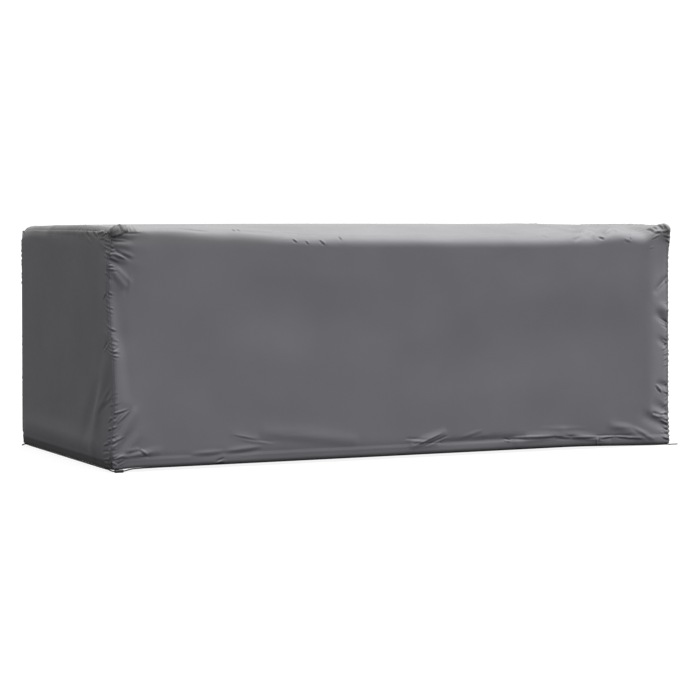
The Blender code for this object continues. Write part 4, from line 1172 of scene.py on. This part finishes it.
def drape_cloth(cloth, piece, wide, high):
    """Move a flat piece's points to where the cloth hangs, and give the sheet its thickness."""
    mesh = cloth.data
    flat = np.empty(3 * len(mesh.vertices))
    mesh.vertices.foreach_get("co", flat)
    a, b = flat.reshape(-1, 3)[:, 0], flat.reshape(-1, 3)[:, 1]
    a = np.where(a < wide / 2, closer_to_edge(a), wide - closer_to_edge(wide - a))
    if piece != "long":
        b = high - closer_to_edge(high - b)
    places, _normals = outer_face(piece, a, b)

    uv = mesh.uv_layers.new(name="cut")
    corners = np.empty(len(mesh.loops), dtype=np.int32)
    mesh.loops.foreach_get("vertex_index", corners)
    uv.data.foreach_set("uv", np.stack([a, b], axis=1)[corners].ravel())
    ridge = np.clip(crease_height(piece, a, b) / RUBBED_HEIGHT, 0.0, 1.0)
    near_seam = 1 - smooth(from_seams(piece, a, b) / RUBBED_REACH)
    store(mesh, "worn", np.clip(ridge + RUBBED_SEAM * near_seam, 0.0, 1.0))
    # a lighter top: partly sun fade, partly painted light from above
    store(mesh, "lit_and_faded", smooth((places[:, 2] - LIGHTER_TOP_FROM) / LIGHTER_TOP_OVER))
    # painted shade and the black rim, kept for the finish
    store(mesh, "painted_shade", shade_to_paint(piece, a, b))
    mesh.vertices.foreach_set("co", places.ravel())
    mesh.update()

    select_only(cloth)
    if piece == "left":
        with editing():
            bpy.ops.mesh.flip_normals()
    thickness = cloth.modifiers.new("thickness", "SOLIDIFY")
    thickness.thickness = CLOTH
    thickness.offset = -1.0
    bpy.ops.object.modifier_apply(modifier=thickness.name)
    bpy.ops.object.shade_smooth_by_angle(angle=math.radians(60))
    return sum(len(face.vertices) - 2 for face in mesh.polygons)


# %% The three panels
PANELS_TO_CUT = {
    # name: piece, width and height of the cut, the solid that it stands for
    "sewn_long_panel": ("long", LENGTH, GIRTH, "body_panel"),
    "sewn_left_end": ("left", SPAN, WALL, "end_panel_left"),
    "sewn_right_end": ("right", SPAN, WALL, "end_panel_right"),
}
panels = {}
for name, (piece, wide, high, _node_name) in PANELS_TO_CUT.items():
    panels[name] = flat_cut(name, piece, wide, high)
    triangles = drape_cloth(panels[name], piece, wide, high)
    print(f"{name}: {triangles} triangles")

# %% [markdown]
# ## Stitching
#
# A double row of thread holds each seam and a single row holds the hem. At this size each stitch is a
# grain of thread a few millimetres long. Drawn lines would do from afar, but real grains catch the
# light, so one stitch is modelled and copied along the rows.

# %% One stitch
STITCH_LENGTH = 0.0036
STITCH_WIDTH = 0.0009
STITCH_SINK = 0.00015
SEAM_PITCH = 0.0048
HEM_PITCH = 0.0056
ROW_END = 0.002

bpy.ops.mesh.primitive_ico_sphere_add(subdivisions=1, radius=1)
one_stitch = bpy.context.object
one_stitch.name = "one_stitch"
with editing():
    bpy.ops.transform.resize(value=(STITCH_LENGTH / 2, STITCH_WIDTH / 2, STITCH_WIDTH / 2))
bpy.ops.object.shade_smooth()
print("one stitch has", len(one_stitch.data.polygons), "faces")


# %% Rows of stitches


def row_on_cut(piece, start, end, pitch):
    """Places and directions of a straight row of stitches on a flat cut."""
    length = math.dist(start, end)
    ways = np.arange(pitch / 2, length, pitch) / length
    a = start[0] + (end[0] - start[0]) * ways
    b = start[1] + (end[1] - start[1]) * ways
    step = STITCH_LENGTH / 3 / length
    places, normals = outer_face(piece, a, b)
    ahead, _ = outer_face(piece, a + (end[0] - start[0]) * step, b + (end[1] - start[1]) * step)
    onwards = ahead - places
    onwards /= np.linalg.norm(onwards, axis=1)[:, None]
    return places, onwards, normals


def stitch_rows(name, rows, pitch):
    """Copies of the one stitch along every row, joined into one piece."""
    copies = []
    for piece, start, end in rows:
        for place, onwards, normal in zip(*row_on_cut(piece, start, end, pitch)):
            copy = one_stitch.copy()
            copy.data = one_stitch.data.copy()
            bpy.context.collection.objects.link(copy)
            turn = Matrix((onwards, np.cross(normal, onwards), normal)).transposed().to_4x4()
            copy.matrix_world = Matrix.Translation(place + normal * STITCH_SINK) @ turn
            copies.append(copy)
    bpy.context.view_layer.update()
    bpy.ops.object.select_all(action="DESELECT")
    for copy in copies:
        copy.select_set(True)
    bpy.context.view_layer.objects.active = copies[0]
    bpy.ops.object.join()
    stitching = bpy.context.object
    bpy.ops.object.transform_apply(location=True, rotation=True, scale=True)
    stitching.name = stitching.data.name = name
    print(f"{name}: {len(copies)} stitches, {len(stitching.data.polygons)} triangles")
    return stitching


seam_rows = [("long", (a, 0.0), (a, GIRTH)) for a in (TOPSTITCH_FROM_SEAM, LENGTH - TOPSTITCH_FROM_SEAM)]
hem_rows = [(piece, (ROW_END, b), (wide - ROW_END, b)) for piece, wide, b in (
    ("long", LENGTH, HEM_STITCH_HEIGHT), ("long", LENGTH, GIRTH - HEM_STITCH_HEIGHT),
    ("left", SPAN, HEM_STITCH_HEIGHT), ("right", SPAN, HEM_STITCH_HEIGHT))]
seam_stitching = stitch_rows("seam_stitching", seam_rows, SEAM_PITCH)
hem_stitching = stitch_rows("hem_stitching", hem_rows, HEM_PITCH)
bpy.data.objects.remove(one_stitch)

# %% [markdown]
# ## The drawcord
#
# The black cord is one length. It comes out at the right front corner with a short free end, lies under
# the whole hem and makes a small loop at the far left corner. A curve with a round bevel would be the
# quickest, but it has no way round it for the braid. So a short ring of tube is repeated with an array
# to the full length, and the tube is then laid along its route.

# %% The route
# Each side of the cover, with the ways along it from its left or front corner. Where the cord leaves
# the hem, a place also says how far out from the hem and below it. The lock's ends are -1 and 1.
CORD_ROUTE = (
    ("right", 0.026, 0.060, 0.160, 0.420, 0.780, 1.040, 1.140, 1.186),
    ("back", 2.580, 2.540, 2.430, 2.230, 1.880, 1.480, 1.120, 0.720, 0.370, 0.170, 0.045,
     (0.016, 0.001, 0.0030), (0.004, 0.004, 0.0080)),
    ("left", (1.188, 0.007, 0.0095), (1.178, 0.006, 0.0080), (1.166, 0.003, 0.0030),
     1.140, 1.060, 0.780, 0.420, 0.160, 0.045, (0.012, 0.001, 0.0015)),
    ("lock", -1, 1),
    ("front", (0.085, 0.000, 0.0010), 0.170, 0.370, 0.720, 1.120, 1.480, 1.880, 2.230, 2.430, 2.525,
     2.578, (2.597, 0.001, 0.0020), (2.609, 0.004, 0.0060), (2.619, 0.006, 0.0085),
     (2.628, 0.010, 0.0088), (2.636, 0.006, 0.0085)),
)
CORD_GAP = 0.0001
ROUTE_STEP = 0.08
GROUND = cad_box[0][2]
LOCK_LENGTH = 0.038
LOCK_DEPTH = 0.016
LOCK_HEIGHT = 0.012
LOCK_FROM_CORNER = 0.010
LOCK_GAP = 0.0009
RING_STEP = 0.008


def hem_place(side, along):
    """The middle of the hem's lower rim, and the outward direction there."""
    longest = LENGTH if side in ("front", "back") else SPAN
    on_hem = np.array([min(along, longest)])
    zero = np.zeros(1)
    if side in ("front", "back"):
        places, outward = long_panel_places(on_hem, zero if side == "front" else zero + GIRTH)
    else:
        places, outward = end_panel_places(-1 if side == "left" else 1, on_hem, zero)
    outward[..., 2] = 0.0
    place = (drape(places, outward) + outward * CLOTH)[0]
    place[0] += along - on_hem[0]
    return place, outward[0]


def cord_place(side, along, out, drop):
    """A place of the cord's middle: beside the lock, or under the hem but never in the ground."""
    if side == "lock":
        return lock_place + np.array([along * (LOCK_LENGTH / 2 + CORD / 2), 0, 0])
    place, outward = hem_place(side, along)
    place = place + outward * out
    place[2] = max(place[2] - CORD_GAP - CORD / 2 - drop, GROUND + CORD / 2)
    return place


lock_place = hem_place("front", LOCK_FROM_CORNER + LOCK_LENGTH / 2)[0]
lock_place[2] -= LOCK_GAP + LOCK_HEIGHT / 2
route = []
for side, *places in CORD_ROUTE:
    places = np.array([place if isinstance(place, tuple) else (place, 0.0, 0.0) for place in places])
    route.append(cord_place(side, *places[0]))
    for last, place in zip(places, places[1:]):
        # long stretches get places in between, so that the cord follows the hem
        steps = max(round(abs(place[0] - last[0]) / ROUTE_STEP), 1)
        for k in range(1, steps + 1):
            route.append(cord_place(side, *(last + (place - last) * k / steps)))
route = np.array(route)
print(len(route), "points on the route, lock at", np.round(lock_place, 4))

# %% The line through the route


def soft_line(points, step):
    """A soft line through the points, with even steps."""
    ends = np.vstack([2 * points[0] - points[1], points, 2 * points[-1] - points[-2]])
    line = []
    for before, start, end, after in zip(ends[:-3], ends[1:-2], ends[2:-1], ends[3:]):
        length = np.linalg.norm(end - start)
        leave = (end - before) / np.linalg.norm(end - before) * length
        arrive = (after - start) / np.linalg.norm(after - start) * length
        t = np.linspace(0, 1, max(int(length / step * 4), 4), endpoint=False)[:, None]
        line.append((2 * t ** 3 - 3 * t ** 2 + 1) * start + (t ** 3 - 2 * t ** 2 + t) * leave
                    + (3 * t ** 2 - 2 * t ** 3) * end + (t ** 3 - t ** 2) * arrive)
    line = np.vstack([*line, points[-1:]])
    way = np.concatenate([[0], np.cumsum(np.linalg.norm(np.diff(line, axis=0), axis=1))])
    even = np.linspace(0, way[-1], round(way[-1] / step) + 1)
    return np.stack([np.interp(even, way, line[:, k]) for k in range(3)], axis=1), way[-1]


# the cord hangs in small scallops under the left end's hem, away from its corners
SCALLOP_STEP = 0.036
SCALLOP_DROP = 0.0012
LEFT_HEM_WIDTH = 0.018
LEFT_HEM_EDGE = 0.006
CORNER_WIDTH = 0.06
CORNER_EDGE = 0.03

cord_line, cord_length = soft_line(route, RING_STEP)
at_left_end = smooth((-HALF_LENGTH + LEFT_HEM_WIDTH - cord_line[:, 0]) / LEFT_HEM_EDGE)
off_corners = smooth((HALF_WIDTH - CORNER_WIDTH - np.abs(cord_line[:, 1])) / CORNER_EDGE)
scallops = np.sin(cord_line[:, 1] / SCALLOP_STEP * math.pi) ** 2
cord_line[:, 2] -= at_left_end * off_corners * SCALLOP_DROP * scallops
print(f"cord {cord_length:.3f} m long, {len(cord_line)} rings")

# %% The tube, laid along the line
CORD_SIDES = 10

bpy.ops.mesh.primitive_cylinder_add(vertices=CORD_SIDES, radius=CORD / 2, depth=RING_STEP,
                                    end_fill_type="NOTHING", location=(0, 0, 0))
drawcord = bpy.context.object
drawcord.name = drawcord.data.name = "black_drawcord"
with editing():
    bpy.ops.transform.translate(value=(0, 0, RING_STEP / 2))
repeat = drawcord.modifiers.new("full length", "ARRAY")
repeat.count = len(cord_line) - 1
repeat.use_relative_offset = False
repeat.use_constant_offset = True
repeat.constant_offset_displace = (0, 0, RING_STEP)
repeat.use_merge_vertices = True
repeat.merge_threshold = RING_STEP / 20
bpy.ops.object.modifier_apply(modifier=repeat.name)
bpy.ops.object.mode_set(mode="EDIT")
bpy.ops.mesh.select_mode(type="EDGE")
bpy.ops.mesh.select_all(action="DESELECT")
bpy.ops.mesh.select_non_manifold()
bpy.ops.mesh.fill_holes(sides=CORD_SIDES)
bpy.ops.mesh.select_all(action="SELECT")
bpy.ops.mesh.normals_make_consistent(inside=False)
bpy.ops.object.mode_set(mode="OBJECT")

straight = np.empty(3 * len(drawcord.data.vertices))
drawcord.data.vertices.foreach_get("co", straight)
straight = straight.reshape(-1, 3)
ring = np.clip(np.round(straight[:, 2] / RING_STEP).astype(int), 0, len(cord_line) - 1)
onwards = np.gradient(cord_line, axis=0)
onwards /= np.linalg.norm(onwards, axis=1)[:, None]
sideways = np.cross(onwards, (0, 0, 1))
sideways /= np.linalg.norm(sideways, axis=1)[:, None]
upwards = np.cross(sideways, onwards)
laid = cord_line[ring] + sideways[ring] * straight[:, :1] + upwards[ring] * straight[:, 1:2]
store(drawcord.data, "way", ring * RING_STEP)
store(drawcord.data, "turn_x", straight[:, 0] / CORD * 2)
store(drawcord.data, "turn_y", straight[:, 1] / CORD * 2)
drawcord.data.vertices.foreach_set("co", laid.ravel())
drawcord.data.update()
bpy.ops.object.shade_smooth_by_angle(angle=math.radians(50))
print("cord:", sum(len(face.vertices) - 2 for face in drawcord.data.polygons), "triangles")

# %% [markdown]
# ## The cord lock
#
# The lock is a small moulded barrel that the cord runs through, with grip grooves round it and a press
# button on its side. A plain block would give its size only. It is made like a mould: a box with well
# rounded edges, from which the grooves and the cord's bore are cut, and a button joined on.

# %% Barrel and button
BARREL_DEPTH = 0.0142
BARREL_ROUNDING = 0.0042
GROOVES = 4
GROOVE_FROM_END = 0.0065
GROOVE_STEP = 0.0042
GROOVE_WIDTH = 0.0014
GROOVE_DEPTH = 0.0005
GROOVE_ROUNDING = 0.0003
CORE_ROUNDING = 0.0020
COLLAR = 0.03
BORE = 0.0056
BUTTON_RADIUS = 0.0036
BUTTON_LENGTH = 0.006
BUTTON_ROUNDING = 0.0006
BUTTON_SHIFT = -0.010


def cut_with(body, cutter, operation):
    """Cut a shape out of a body, or join it on."""
    select_only(body)
    change = body.modifiers.new("cut", "BOOLEAN")
    change.object = cutter
    change.solver = "EXACT"
    change.operation = operation
    bpy.ops.object.modifier_apply(modifier=change.name)
    bpy.data.objects.remove(cutter)


def rounded_box(size, rounding, place):
    """A box with rounded edges."""
    bpy.ops.mesh.primitive_cube_add(size=1)
    box = bpy.context.object
    with editing():
        bpy.ops.transform.resize(value=size)
        bpy.ops.mesh.bevel(offset=rounding, segments=5, affect="EDGES")
        bpy.ops.transform.translate(value=place)
    return box


barrel_place = lock_place + np.array([0, (LOCK_DEPTH - BARREL_DEPTH) / 2, 0])
cord_lock = rounded_box((LOCK_LENGTH, BARREL_DEPTH, LOCK_HEIGHT), BARREL_ROUNDING, barrel_place)
cord_lock.name = cord_lock.data.name = "cord_toggle"
for k in range(GROOVES):
    groove_place = barrel_place + np.array([LOCK_LENGTH / 2 - GROOVE_FROM_END - k * GROOVE_STEP, 0, 0])
    collar = rounded_box((GROOVE_WIDTH, COLLAR, COLLAR), GROOVE_ROUNDING, groove_place)
    core_size = (GROOVE_WIDTH * 3, BARREL_DEPTH - 2 * GROOVE_DEPTH, LOCK_HEIGHT - 2 * GROOVE_DEPTH)
    core = rounded_box(core_size, CORE_ROUNDING, groove_place)
    cut_with(collar, core, "DIFFERENCE")
    cut_with(cord_lock, collar, "DIFFERENCE")
bpy.ops.mesh.primitive_cylinder_add(vertices=24, radius=BUTTON_RADIUS, depth=BUTTON_LENGTH,
                                    rotation=(math.pi / 2, 0, 0))
button = bpy.context.object
with editing():
    bpy.ops.mesh.bevel(offset=BUTTON_ROUNDING, segments=2, affect="EDGES")
button.location = lock_place + np.array([BUTTON_SHIFT, (BUTTON_LENGTH - LOCK_DEPTH) / 2, 0])
cut_with(cord_lock, button, "UNION")
bpy.ops.mesh.primitive_cylinder_add(vertices=24, radius=BORE / 2, depth=2 * COLLAR, location=lock_place,
                                    rotation=(0, math.pi / 2, 0))
cut_with(cord_lock, bpy.context.object, "DIFFERENCE")
select_only(cord_lock)
bpy.ops.object.shade_smooth_by_angle(angle=math.radians(35))
print("lock:", len(cord_lock.data.polygons), "faces")

# %% [markdown]
# ## The cloth's finish
#
# It is polyester woven from fine yarn, with a coating on the inside: matt, but with a soft shine at a
# low angle. An image of cloth could be wrapped round it. Here the weave, the uneven dye, the rubbed
# ridges, the lighter top and the painted shade are worked out from the flat cut's own UV map and from
# the attributes that the draping stored, so they follow the cloth and need no image. The top is lighter
# partly from sun fade and partly as painted light from above. Shade is painted at the hem, along the
# outer seams and round the left end's top, and the lowest rim is painted black.

# %% Texture helpers


def noise(tree, where, scale, detail=2.0):
    """A noise texture, with its scale in waves per metre."""
    return node(tree, "TexNoise", {"Vector": where, "Scale": scale, "Detail": detail}).outputs["Fac"]


def stored(tree, title):
    """A number that was kept for every point."""
    return node(tree, "Attribute", attribute_name=title).outputs["Fac"]


def dented(tree, height, depth, **under):
    """A normal with dents of the given depth, on top of another one if there is one."""
    return node(tree, "Bump", {"Height": height, "Distance": depth, **under}).outputs["Normal"]


# %% Grey polyester
CLOTH_COLOUR = (0.125, 0.1222, 0.1352, 1)
YARN_PITCH = 0.0009
WAVE_PERIOD = math.pi / 10
DYE_SPREAD = 0.06
FLECK_SPREAD = 0.08
RUB_LIGHTENS = 0.10
# the top is painted lighter and greyer: partly sun fade, partly painted light from above
TOP_LIGHTENS = 0.12
LIGHTER_TOP_TINT = 0.25
# the cloth's colour where the painted shade is deepest, as a share
DARKEST_SHADE = 0.08


def grey_polyester():
    """Woven polyester with a soft shine."""
    finish, tree, shader = new_finish("grey_polyester")
    cut = node(tree, "UVMap", uv_map="cut").outputs["UV"]
    yarn = WAVE_PERIOD / YARN_PITCH
    warp = node(tree, "TexWave", {"Vector": cut, "Scale": yarn}, bands_direction="X").outputs["Fac"]
    weft = node(tree, "TexWave", {"Vector": cut, "Scale": yarn}, bands_direction="Y").outputs["Fac"]
    weave = arithmetic(tree, "MULTIPLY", warp, weft)

    dye = noise(tree, cut, 3.0, 3.0)
    slub = noise(tree, cut, 420.0, 1.0)
    tone = spread(tree, dye, 1 - DYE_SPREAD, 1 + DYE_SPREAD, 0.3, 0.7)
    fleck = spread(tree, slub, 1 - FLECK_SPREAD, 1 + FLECK_SPREAD)
    worn = stored(tree, "worn")
    lit_and_faded = stored(tree, "lit_and_faded")
    rub = arithmetic(tree, "MULTIPLY", worn, RUB_LIGHTENS)
    # the top is painted lighter: partly sun fade, partly painted light from above
    fade = arithmetic(tree, "MULTIPLY", lit_and_faded, TOP_LIGHTENS)
    lift = arithmetic(tree, "ADD", arithmetic(tree, "ADD", rub, fade), 1.0)
    # painted shade: darker at the hem, the outer seams and the left end's top, black at the rim
    shade_factor = spread(tree, stored(tree, "painted_shade"), 1.0, DARKEST_SHADE)
    value = arithmetic(tree, "MULTIPLY", arithmetic(tree, "MULTIPLY", tone, fleck), lift)
    value = arithmetic(tree, "MULTIPLY", value, shade_factor)
    # the lighter top is also painted greyer
    tint = spread(tree, lit_and_faded, 1.0, LIGHTER_TOP_TINT)
    colour = node(tree, "HueSaturation", {"Color": CLOTH_COLOUR, "Value": value,
                                          "Saturation": tint}).outputs["Color"]
    tree.links.new(colour, shader.inputs["Base Color"])

    crumple = noise(tree, cut, 26.0, 2.5)
    bump = dented(tree, noise(tree, cut, 7.0, 1.0), 0.0010)
    bump = dented(tree, crumple, 0.0003, Normal=bump)
    bump = dented(tree, weave, 0.00005, Normal=bump)
    tree.links.new(bump, shader.inputs["Normal"])
    rough = spread(tree, crumple, 0.54, 0.64)
    rough = arithmetic(tree, "SUBTRACT", rough, arithmetic(tree, "MULTIPLY", worn, 0.05))
    tree.links.new(rough, shader.inputs["Roughness"])
    shader.inputs["Specular IOR Level"].default_value = 0.16
    shader.inputs["Sheen Weight"].default_value = 0.03
    shader.inputs["Sheen Roughness"].default_value = 0.5
    return finish


paint(grey_polyester(), *panels.values())

# %% [markdown]
# ## The thread's finish
#
# The thread is twisted polyester in the cloth's colour, a little lighter than the cloth. It could share
# the cloth's finish, but stitches have no flat cut to lay a weave on, so a very fine noise in space
# gives their fuzz.

# %% Thread


def grey_thread():
    """Twisted polyester thread, a little lighter than the cloth."""
    finish, tree, shader = new_finish("grey_thread")
    where = node(tree, "TexCoord").outputs["Object"]
    fuzz = noise(tree, where, 1800.0)
    tree.links.new(spread(tree, fuzz, 0.13, 0.21), shader.inputs["Base Color"])
    shader.inputs["Roughness"].default_value = 0.55
    return finish


paint(grey_thread(), seam_stitching, hem_stitching)

# %% [markdown]
# ## The cord's finish
#
# The cord is braided from two sets of black strands that cross. They could be modelled one by one, but
# most views show them smaller than a pixel. Two sets of slanted waves give their ridges instead. They
# follow the way along the cord and the turn round it, which the tube's points have stored.

# %% Braided cord
BRAID_PITCH = 0.0035
BRAID_STRANDS = 4


def black_braid():
    """A black cord braided from two sets of strands that cross."""
    finish, tree, shader = new_finish("black_braid")
    turn = arithmetic(tree, "ARCTAN2", stored(tree, "turn_y"), stored(tree, "turn_x"))
    along = arithmetic(tree, "MULTIPLY", stored(tree, "way"), 2 * math.pi / BRAID_PITCH)
    round_it = arithmetic(tree, "MULTIPLY", turn, BRAID_STRANDS)
    one_way = arithmetic(tree, "SINE", arithmetic(tree, "ADD", along, round_it))
    other_way = arithmetic(tree, "SINE", arithmetic(tree, "SUBTRACT", along, round_it))
    braid = arithmetic(tree, "MAXIMUM", one_way, other_way)
    tree.links.new(spread(tree, braid, 0.004, 0.016, -1.0), shader.inputs["Base Color"])
    tree.links.new(dented(tree, braid, 0.0002), shader.inputs["Normal"])
    shader.inputs["Roughness"].default_value = 0.85
    shader.inputs["Specular IOR Level"].default_value = 0.1
    return finish


paint(black_braid(), drawcord)

# %% [markdown]
# ## The lock's finish
#
# The lock is moulded in black plastic, with a fine grain and a few duller scuffs. An image of real
# plastic could be used. Noise in two sizes does the same without one: the fine one dents the surface,
# and the coarse one changes how dark and how dull it is.

# %% Black plastic


def black_plastic():
    """Moulded plastic with a fine grain."""
    finish, tree, shader = new_finish("black_plastic")
    where = node(tree, "TexCoord").outputs["Object"]
    scuff = noise(tree, where, 180.0, 3.0)
    tree.links.new(spread(tree, scuff, 0.006, 0.018), shader.inputs["Base Color"])
    tree.links.new(spread(tree, scuff, 0.38, 0.55), shader.inputs["Roughness"])
    tree.links.new(dented(tree, noise(tree, where, 2500.0), 0.00004), shader.inputs["Normal"])
    return finish


paint(black_plastic(), cord_lock)

# %% [markdown]
# ## Hanging the pieces on the root
#
# Every piece is hung on the root body. The panels, the lock and the cord stand for solids, which are
# hidden.

for name, (piece, wide, high, node_name) in PANELS_TO_CUT.items():
    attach(panels[name], "root")
    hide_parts(node_name)

for stitching in (seam_stitching, hem_stitching):
    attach(stitching, "root")

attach(cord_lock, "root")
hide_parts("cord_lock")
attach(drawcord, "root")
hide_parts("hem_drawcord")
